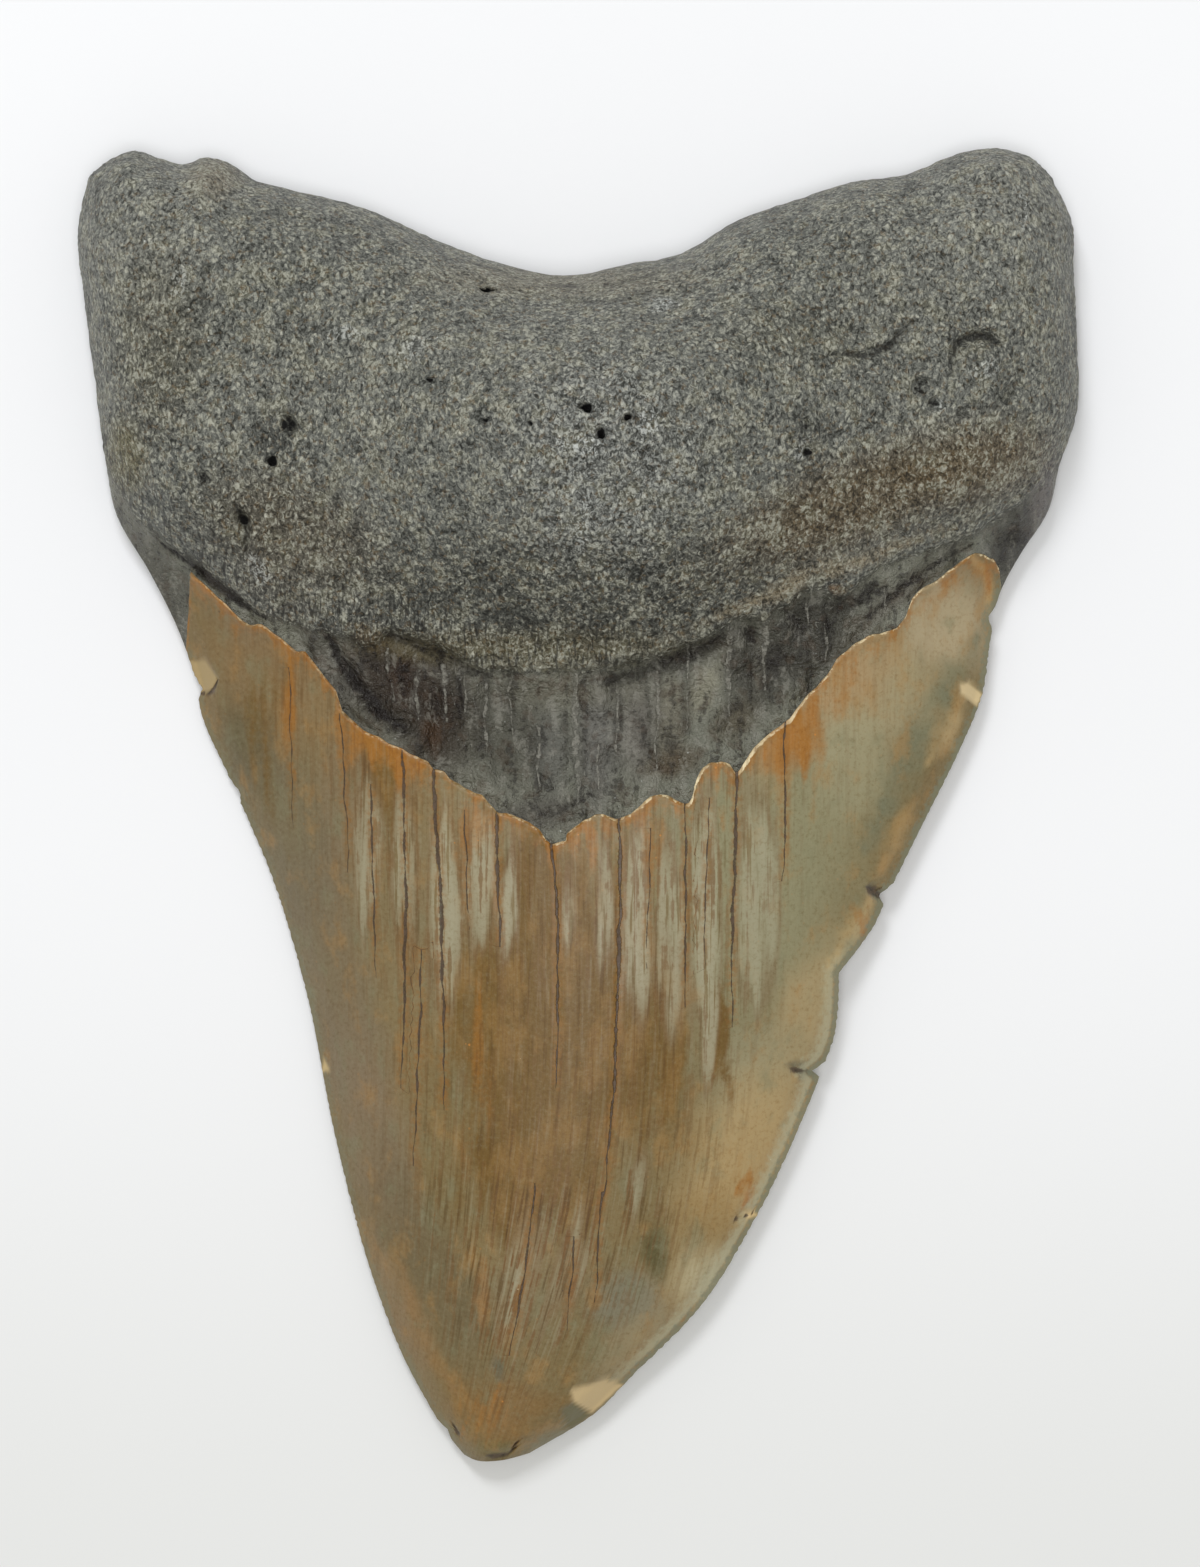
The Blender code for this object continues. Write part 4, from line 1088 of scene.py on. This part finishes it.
def flecks_group():
    """Small scattered spots, one to some of the cells of a given size."""
    inputs = [
        ("Place", VECTOR, None), ("Spacing", FLOAT, 1.0), ("Radius", FLOAT, 0.2), ("Share", FLOAT, 0.3),
    ]
    tree, wires, given, result = start_group("flecks", inputs, [("Mask", FLOAT)])
    scale = wires.math("DIVIDE", 1.0, given["Spacing"])
    cells = wires.put("ShaderNodeTexVoronoi", {"Vector": given["Place"], "Scale": scale})
    away = wires.times(cells.outputs["Distance"], given["Spacing"])
    luck = wires.put("ShaderNodeSeparateColor", {0: cells.outputs["Color"]}).outputs[0]
    chosen = wires.math("LESS_THAN", luck, given["Share"])
    size = wires.times(given["Radius"], wires.math("ADD", 0.4, luck))
    spot = wires.span(away, wires.times(size, 0.5), size, 1.0, 0.0)
    wires.feed(result.inputs[0], wires.times(spot, chosen))
    return tree


# ---------------------------------------------------------------- the tooth's material


class ToothPaint:
    """Builds the tooth's material: its fields, the colour of each surface, and their relief."""

    def __init__(self, colours):
        self.colours = colours
        self.material = bpy.data.materials.new("fossil_tooth")
        self.material.use_nodes = True
        self.wires = Wiring(self.material.node_tree)
        self.streaks = streaks_group()
        self.flecks = flecks_group()
        self.find_fields()

    def attribute(self, name, output="Fac"):
        return self.wires.put("ShaderNodeAttribute", attribute_name=name).outputs[output]

    def find_fields(self):
        """Places in millimetres, numbers that the mesh stores, and noises that several colours share."""
        wires = self.wires
        place = wires.put("ShaderNodeTexCoord").outputs["Object"]
        self.place = wires.vector_math("MULTIPLY", place, (1 / MM, 1 / MM, 1 / MM))
        self.x, self.y, _ = wires.put("ShaderNodeSeparateXYZ", {0: self.place}).outputs
        self.over_ledge = self.attribute("over_ledge")
        self.over_margin = self.attribute("over_margin")
        self.growth = self.attribute("growth")
        self.from_edge = self.attribute("from_edge")
        self.ragged = wires.noise(self.place, scale=1.7, detail=3.0, roughness=0.65)
        self.warped = wires.vector_math("MULTIPLY", self.place, (1.1, 0.7, 1.0))
        self.fine_streaks = self.streak(width=0.4, length=7.0, seed=1.0)
        self.find_lines()

    def find_lines(self):
        """The line drawn by a crack or a ridge, and the strip beside it: a rust stain beside a crack,
        painted shade beside a ridge.
        """
        wires = self.wires
        away = wires.math("ABSOLUTE", self.attribute("line_offset"))
        self.patchy = wires.noise(self.place, scale=0.5, detail=4.0, roughness=0.6)
        waver = wires.times(
            wires.span(self.patchy, 0.35, 0.62, 0.4, 1.5), wires.span(self.ragged, 0.3, 0.7, 0.65, 1.25)
        )
        width = wires.times(self.attribute("line_width"), waver)
        self.line = wires.times(
            wires.span(away, wires.times(width, 0.55), wires.times(width, 1.25), 1.0, 0.0),
            wires.math("GREATER_THAN", width, 0.012),
        )
        self.rust_and_shade_halo = wires.times(
            wires.span(away, 0.1, 0.85, 1.0, 0.0), wires.span(self.attribute("line_width"), 0.0, 0.06)
        )

    def streak(self, width, length, seed):
        inputs = {"Growth": self.growth, "Up": self.y, "Width": width, "Length": length, "Seed": seed}
        return self.wires.group(self.streaks, inputs)[0]

    def fleck(self, place, spacing, radius, share):
        inputs = {"Place": place, "Spacing": spacing, "Radius": radius, "Share": share}
        return self.wires.group(self.flecks, inputs)[0]

    def cover(self, colour, over, value, low, high, strength=1.0):
        """A colour with another over it, from nothing where value is low to strength where it is high."""
        share = self.wires.span(value, low, high, 0.0, strength)
        return self.wires.mix(share, colour, over)

    def root(self, ground):
        """Charcoal-grey root with a salt-and-pepper grain, painted shade in its pits, furrows and hollows,
        and painted glints.
        """
        wires, colours = self.wires, self.colours
        stretched = wires.vector_math("MULTIPLY", self.place, (1.0, 0.75, 1.0))
        fine = wires.centred(wires.noise(stretched, scale=2.6, detail=4.0, roughness=0.72, distortion=0.7))
        mottle = wires.centred(wires.noise(self.place, scale=0.5, detail=5.0, roughness=0.68))
        # The mesh's lumps lighten the grain and its hollows darken it: painted shade.
        broad = wires.math("MULTIPLY_ADD", self.attribute("lump_shade"), 0.06, mottle)
        self.root_grain = wires.math("MULTIPLY_ADD", broad, 0.4, fine)
        self.root_pores = self.fleck(stretched, spacing=0.8, radius=0.15, share=0.3)
        # Scattered flecks and the glossy spots, which are painted whiter as glints: painted highlight.
        glints = self.fleck(self.place, spacing=0.9, radius=0.2, share=0.22)
        glints = wires.math("MAXIMUM", glints, self.attribute("gloss_and_glint"))
        self.glints = wires.times(glints, wires.span(fine, 0.0, 0.06))
        colour = self.cover(ground, colours.root_olive, mottle, 0.0, 0.1, 0.5)
        colour = self.cover(colour, colours.root_brown, self.ragged, 0.54, 0.66, 0.5)
        dark = wires.mix(1.0, colour, colours.root_dark, "MULTIPLY")
        pale = wires.mix(0.75, colour, colours.root_pale)
        colour = self.cover(colour, dark, self.root_grain, 0.03, -0.18)
        colour = self.cover(colour, pale, self.root_grain, -0.01, 0.16)
        fibres = wires.times(
            wires.span(self.streak(width=0.3, length=1.7, seed=6.0), 0.52, 0.62),
            wires.span(self.over_margin, 7.0, 2.0, 0.0, 0.7),
            wires.span(self.x, 14.0, 3.0, 0.1, 1.0),
        )
        colour = wires.mix(fibres, colour, colours.pore_and_furrow_shade)
        # Painted highlight: the glints' colour over those spots.
        colour = wires.mix(wires.times(self.glints, 0.85), colour, colours.painted_glint)
        colour = wires.mix(wires.times(self.root_pores, 0.45), colour, colours.pore_and_furrow_shade)
        ragged = wires.centred(self.ragged)
        # Painted shade in the root's furrows.
        shade = wires.math("MULTIPLY_ADD", ragged, 1.2, self.attribute("shade"))
        colour = self.cover(colour, colours.pore_and_furrow_shade, shade, 0.25, 1.1, 0.8)
        # Painted shade inside the holes for vessels.
        pit = wires.math("MULTIPLY_ADD", ragged, 0.8, self.attribute("pit"))
        return self.cover(colour, colours.pit, pit, 0.3, 0.6)

    def band(self, ground):
        """Smooth slate-grey dental band, dark in patches, with painted shade in its furrows and beside its
        ridges, fine pale ridges that are partly painted highlight, and painted glints.
        """
        wires, colours = self.wires, self.colours
        ragged = wires.centred(self.ragged)
        level = wires.math("MULTIPLY_ADD", ragged, 0.8, self.streak(width=1.4, length=4.0, seed=9.0))
        ground = wires.mix(1.0, ground, colours.band, "MULTIPLY")
        colour = self.cover(ground, colours.band_pale_and_ridge_highlight, level, 0.46, 0.3, 0.4)
        colour = self.cover(colour, colours.band_dark_and_shade, level, 0.54, 0.7, 0.6)
        patches = wires.noise(self.place, scale=0.6, detail=3.0, roughness=0.6)
        colour = self.cover(colour, colours.band_brown, patches, 0.52, 0.66, 0.35)
        # Painted shade in the band's furrows.
        shade = wires.math("MULTIPLY_ADD", ragged, 1.0, self.attribute("shade"))
        colour = self.cover(colour, colours.band_dark_and_shade, shade, 0.15, 0.75, 0.85)
        # Painted shadow beside the ridges.
        colour = wires.mix(wires.times(self.rust_and_shade_halo, 0.3), colour, colours.band_dark_and_shade)
        # Painted highlight: glints on the band too.
        colour = wires.mix(wires.times(self.glints, 0.4), colour, colours.painted_glint)
        # Pale ridges, partly painted highlight.
        broken = wires.span(self.ragged, 0.4, 0.6, 0.05, 0.7)
        return wires.mix(wires.times(self.line, broken), colour, colours.band_pale_and_ridge_highlight)

    def enamel(self, ground):
        """Olive-brown enamel, pale and ochre in streaks, orange under its ledge, with dark cracks and
        painted shade in its nicks.
        """
        wires, colours = self.wires, self.colours
        streaks = wires.centred(self.streak(width=1.2, length=15.0, seed=5.0))
        ragged = wires.centred(self.ragged)
        wobble = wires.math("MULTIPLY_ADD", streaks, 2.2, wires.times(ragged, 0.8))
        drawn_out = wires.vector_math("MULTIPLY", self.place, (1.0, 0.6, 1.0))
        hue = wires.noise(drawn_out, scale=0.33, detail=5.0, roughness=0.6)
        colour = self.cover(ground, colours.green, hue, 0.48, 0.3, 0.45)
        colour = self.cover(colour, colours.tan, hue, 0.52, 0.7, 0.45)
        ochre = wires.math("ADD", self.attribute("ochre"), wires.times(wobble, 0.5))
        clouded = wires.mix(wires.span(hue, 0.44, 0.62, 0.0, 0.3), colours.ochre, colours.tan)
        colour = self.cover(colour, clouded, ochre, 0.15, 0.75, 0.9)
        pale = wires.math("MULTIPLY_ADD", streaks, 1.0, self.attribute("pale"))
        off_border = wires.math("ABSOLUTE", wires.math("SUBTRACT", pale, 0.36))
        outline = wires.span(off_border, 0.25, 0.0, 0.0, 0.4)
        outline = wires.times(outline, wires.span(self.attribute("pale"), 0.1, 0.4))
        colour = self.cover(colour, colours.enamel_pale, pale, 0.1, 1.0, 0.78)
        colour = wires.mix(outline, colour, colours.brown_streak)
        rust = wires.math("ADD", self.attribute("rust"), wires.times(wobble, 0.6))
        colour = self.cover(colour, colours.orange, rust, 0.2, 1.0, 0.85)
        colour = self.stain_under_ledge(colour, wobble)
        colour = self.streak_enamel(colour)
        colour = self.colour_edges(colour)
        colour = wires.mix(self.attribute("chipped"), colour, ground)
        rusty_halo = wires.times(self.rust_and_shade_halo, wires.span(self.ragged, 0.35, 0.65, 0.05, 0.6))
        colour = wires.mix(rusty_halo, colour, colours.rusty)
        fill = wires.mix(wires.span(self.ragged, 0.4, 0.6), colours.crack, colours.crack_fill)
        # Painted shade in the enamel's nicks, in the cracks' colour.
        nick = wires.math("MULTIPLY_ADD", ragged, 1.0, self.attribute("shade"))
        crack = wires.times(self.line, wires.span(self.ragged, 0.3, 0.55, 0.55, 0.95))
        return wires.mix(wires.math("MAXIMUM", crack, wires.span(nick, 0.2, 0.8, 0.0, 0.85)), colour, fill)

    def stain_under_ledge(self, colour, wobble):
        """Orange iron stain that hangs in fingers from the ledge, and the cream lip of the break, painted
        thicker as a highlight where the ledge rises towards the key light.
        """
        wires, colours = self.wires, self.colours
        reach = wires.span(wobble, -0.35, 0.4, -0.9, -4.0)
        hanging = wires.span(self.over_ledge, reach, -0.2)
        patchy = wires.span(self.patchy, 0.38, 0.62, 0.15, 0.85)
        colour = wires.mix(wires.times(hanging, patchy), colour, colours.orange)
        rising_to_light = self.attribute("rising_to_light")
        towards_right = wires.span(self.x, -12.0, 0.0, 0.5, 1.0)
        scattered = wires.times(wires.span(self.ragged, 0.42, 0.6, 0.05, 0.8), towards_right)
        climbing = wires.times(rising_to_light, wires.span(self.ragged, 0.3, 0.5, 0.3, 1.0))
        broken = wires.math("MAXIMUM", climbing, scattered)
        # Painted highlight: the lip is thicker where the ledge's step faces the key light.
        thick = wires.math("MULTIPLY_ADD", rising_to_light, -0.45, wires.span(self.ragged, 0.3, 0.65, -0.1, -0.35))
        lip = wires.span(self.over_ledge, thick, wires.math("ADD", thick, 0.15))
        return wires.mix(wires.times(lip, broken), colour, colours.lip)

    def streak_enamel(self, colour):
        """Fine lengthwise streaks, darker and paler, scattered flecks, and pale flecks that are painted
        glints.
        """
        wires, colours = self.wires, self.colours
        dark = wires.mix(1.0, colour, colours.streak, "MULTIPLY")
        light = wires.mix(0.4, colour, colours.enamel_pale)
        brown = self.streak(width=0.5, length=11.0, seed=3.0)
        brown = wires.times(brown, wires.span(self.patchy, 0.35, 0.65, 0.88, 1.12))
        strength = wires.times(
            wires.span(self.from_edge, 2.0, 11.0, 0.2, 1.0),
            wires.span(self.y, -28.0, -44.0, 0.8, 1.6),
            wires.span(self.growth, 14.0, 22.0, 1.0, 0.4),
            wires.math("ADD", self.attribute("pale"), 0.8),
        )
        brown = wires.times(wires.span(brown, 0.52, 0.64), strength, 0.55)
        colour = wires.mix(brown, colour, colours.brown_streak)
        darker = wires.times(wires.span(self.fine_streaks, 0.54, 0.68), strength, 0.8)
        colour = wires.mix(darker, colour, dark)
        lighter = wires.times(wires.span(self.fine_streaks, 0.45, 0.32, 0.0, 0.4), strength)
        colour = wires.mix(lighter, colour, light)
        fine = wires.noise(self.place, scale=2.4, detail=4.0, roughness=0.7)
        colour = self.cover(colour, dark, fine, 0.48, 0.74, 0.55)
        colour = self.cover(colour, light, fine, 0.5, 0.26, 0.35)
        rusty = wires.span(self.attribute("rust"), 0.1, 0.5, 0.12, 0.8)
        specks = wires.times(self.fleck(self.place, spacing=1.1, radius=0.2, share=0.4), rusty)
        colour = wires.mix(specks, colour, colours.speck)
        dark_spots = wires.times(self.fleck(self.warped, spacing=2.2, radius=0.16, share=0.3), 0.6)
        colour = wires.mix(dark_spots, colour, colours.crack)
        # Painted highlight: small glints on the enamel.
        painted_glint_spots = wires.times(self.fleck(self.place, spacing=3.1, radius=0.14, share=0.3), 0.8)
        return wires.mix(painted_glint_spots, colour, colours.lip)

    def colour_edges(self, colour):
        """Grey-green rim along the cutting edges, and a paler line beside it."""
        wires, colours = self.wires, self.colours
        right = wires.span(self.x, -6.0, 10.0)
        low = wires.span(self.y, -8.0, -20.0)
        from_edge = wires.math("MULTIPLY_ADD", wires.centred(self.ragged), 2.0, self.from_edge)
        inner = wires.span(self.from_edge, 0.5, 0.8)
        beside = wires.times(inner, wires.span(from_edge, 0.9, 2.0, 1.0, 0.0), right, low, 0.6)
        colour = wires.mix(beside, colour, colours.edge_line)
        rim = wires.times(wires.span(from_edge, 0.2, 0.9, 1.0, 0.0), wires.span(right, 0.0, 1.0, 0.4, 0.75))
        bare = wires.math("SUBTRACT", 1.0, self.attribute("chipped"))
        return wires.mix(wires.times(rim, bare), colour, colours.rim)

    def make(self):
        """Joins the three surfaces at their borders, and gives the finished material."""
        wires = self.wires
        shader = self.material.node_tree.nodes["Principled BSDF"]
        grey_ground = self.attribute("grey_ground", "Color")
        root, band = self.root(grey_ground), self.band(grey_ground)
        enamel = self.enamel(self.attribute("enamel_ground", "Color"))
        on_enamel = wires.span(self.over_ledge, -0.03, 0.03, 1.0, 0.0)
        ragged_margin = wires.math("MULTIPLY_ADD", self.root_grain, 3.0, self.over_margin)
        on_root = wires.span(ragged_margin, -0.3, 0.35)
        colour = wires.mix(on_root, band, root)
        colour = wires.mix(on_enamel, colour, enamel)
        wires.feed(shader.inputs["Base Color"], colour)
        rough_root = wires.span(self.glints, 0.0, 1.0, 0.55, 0.2)
        rough_band = wires.span(self.ragged, 0.3, 0.7, 0.45, 0.25)
        rough_enamel = wires.span(self.fine_streaks, 0.3, 0.7, 0.4, 0.5)
        roughness = self.blend(on_root, rough_band, rough_root)
        wires.feed(shader.inputs["Roughness"], self.blend(on_enamel, roughness, rough_enamel))
        shader.inputs["IOR"].default_value = 1.5
        shader.inputs["Specular IOR Level"].default_value = 0.35
        wires.feed(shader.inputs["Normal"], self.relief(on_root, on_enamel))
        return self.material

    def blend(self, share, first, second):
        """A number between first and second."""
        return self.wires.put("ShaderNodeMix", {0: share, 2: first, 3: second}).outputs[0]

    def relief(self, on_root, on_enamel):
        """Normal of the finest relief, from its height in hundredths of a millimetre."""
        wires = self.wires
        grain = wires.times(self.root_grain, GRAIN_RELIEF)
        root = wires.math("SUBTRACT", grain, wires.times(self.root_pores, PORE_RELIEF))
        uneven = wires.times(self.ragged, BAND_RELIEF)
        band = wires.math("ADD", uneven, wires.times(self.line, LINE_RELIEF))
        streaked = wires.times(self.fine_streaks, ENAMEL_RELIEF)
        enamel = wires.math("ADD", streaked, wires.times(self.ragged, ENAMEL_RELIEF))
        enamel = wires.math("SUBTRACT", enamel, wires.times(self.line, LINE_RELIEF))
        height = self.blend(on_enamel, self.blend(on_root, band, root), enamel)
        inputs = {"Strength": 1.0, "Distance": RELIEF_UNIT, "Height": height}
        return wires.put("ShaderNodeBump", inputs).outputs[0]


# ---------------------------------------------------------------- operators


class MakeTooth(bpy.types.Operator):
    """Make the finely modelled tooth in place of the frame's plain one"""

    bl_idname = "tooth.make_tooth"
    bl_label = "Make tooth"

    def execute(self, context):
        shape = context.scene.tooth_shape
        mesh = slab(shape)
        refine_details(mesh)
        numbers = shape_tooth(mesh, shape)
        data = bpy.data.meshes.new("fossil_tooth")
        bmesh.ops.triangulate(mesh, faces=mesh.faces)
        bmesh.ops.recalc_face_normals(mesh, faces=mesh.faces)
        mesh.to_mesh(data)
        mesh.free()
        put_attributes(data, numbers)
        data.shade_smooth()
        piece = bpy.data.objects.new("fossil_tooth", data)
        context.scene.collection.objects.link(piece)
        wear_down(piece, shape, ToothPaint(context.scene.tooth_colours).make())
        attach(piece, "root")
        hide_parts("tooth")
        return {"FINISHED"}


class MakeStage(bpy.types.Operator):
    """Make the pale floor, the soft lights and the camera that looks straight down"""

    bl_idname = "tooth.make_stage"
    bl_label = "Make stage"

    def execute(self, context):
        stage = context.scene.tooth_stage
        make_floor(stage)
        make_lights(context.scene, stage)
        make_camera(context.scene, stage)
        return {"FINISHED"}


def make_floor(stage):
    """A matt floor with painted light falloff: it darkens a little towards the bottom of the frame."""
    bpy.ops.mesh.primitive_plane_add(size=4.0)
    floor = bpy.context.object
    floor.name = "floor"
    material = bpy.data.materials.new("pale_floor")
    material.use_nodes = True
    wires = Wiring(material.node_tree)
    shader = material.node_tree.nodes["Principled BSDF"]
    place = wires.put("ShaderNodeTexCoord").outputs["Object"]
    up = wires.put("ShaderNodeSeparateXYZ", {0: place}).outputs["Y"]
    shade = wires.mix(wires.span(up, 0.0, FLOOR_DARKENS_TO), stage.floor, stage.floor_falloff_shade)
    wires.feed(shader.inputs["Base Color"], shade)
    shader.inputs["Roughness"].default_value = 0.9
    shader.inputs["Specular IOR Level"].default_value = 0.2
    floor.data.materials.append(material)


def add_lamp(scene, name, power, colour, size, turn, lift, away):
    """A square lamp that faces the middle of the floor. It is turned from +Y and lifted, in degrees."""
    turn, lift = math.radians(turn), math.radians(lift)
    lamp = bpy.data.lights.new(name, "AREA")
    lamp.energy = power
    lamp.color = colour
    lamp.size = size
    holder = bpy.data.objects.new(name, lamp)
    towards = Vector((-math.sin(turn) * math.cos(lift), math.cos(turn) * math.cos(lift), math.sin(lift)))
    holder.location = away * towards
    holder.rotation_euler = towards.to_track_quat("Z", "Y").to_euler()
    scene.collection.objects.link(holder)


def make_lights(scene, stage):
    """A soft key light beyond the root, a broad light above, and a plain white sky."""
    add_lamp(scene, "key", stage.key_power, (0.94, 0.96, 1.0), size=0.2, turn=14, lift=54, away=0.75)
    add_lamp(scene, "top", stage.top_power, (0.97, 0.98, 1.0), size=0.3, turn=180, lift=84, away=0.85)
    world = bpy.data.worlds.new("sky")
    world.use_nodes = True
    sky = world.node_tree.nodes["Background"]
    sky.inputs["Color"].default_value = (1.0, 1.0, 0.96, 1)
    sky.inputs["Strength"].default_value = stage.sky
    scene.world = world
    scene.view_settings.view_transform = "Standard"


def make_camera(scene, stage):
    """Straight down over the middle of the frame, a little up and to the right of the tooth's."""
    lens_data = bpy.data.cameras.new("camera")
    lens_data.lens = lens_data.sensor_width * stage.camera_height / stage.frame_height
    camera = bpy.data.objects.new("camera", lens_data)
    camera.location = (*FRAME_MIDDLE, stage.camera_height)
    scene.collection.objects.link(camera)
    scene.camera = camera


class ToothPanel(bpy.types.Panel):
    """Settings and makers of the tooth and its stage"""

    bl_idname = "VIEW3D_PT_tooth"
    bl_label = "Megalodon tooth"
    bl_space_type = "VIEW_3D"
    bl_region_type = "UI"
    bl_category = "Tooth"

    def draw(self, context):
        for group in (context.scene.tooth_shape, context.scene.tooth_colours, context.scene.tooth_stage):
            box = self.layout.box()
            for name in group.__annotations__:
                box.prop(group, name)
        self.layout.operator(MakeTooth.bl_idname)
        self.layout.operator(MakeStage.bl_idname)


CLASSES = (ToothShape, ToothColours, ToothStage, MakeTooth, MakeStage, ToothPanel)


def register():
    for item in CLASSES:
        bpy.utils.register_class(item)
    bpy.types.Scene.tooth_shape = bpy.props.PointerProperty(type=ToothShape)
    bpy.types.Scene.tooth_colours = bpy.props.PointerProperty(type=ToothColours)
    bpy.types.Scene.tooth_stage = bpy.props.PointerProperty(type=ToothStage)


def unregister():
    del bpy.types.Scene.tooth_shape, bpy.types.Scene.tooth_colours, bpy.types.Scene.tooth_stage
    for item in reversed(CLASSES):
        bpy.utils.unregister_class(item)


def main():
    register()
    bpy.ops.tooth.make_stage()
    bpy.ops.tooth.make_tooth()


if __name__ == "__main__":
    main()
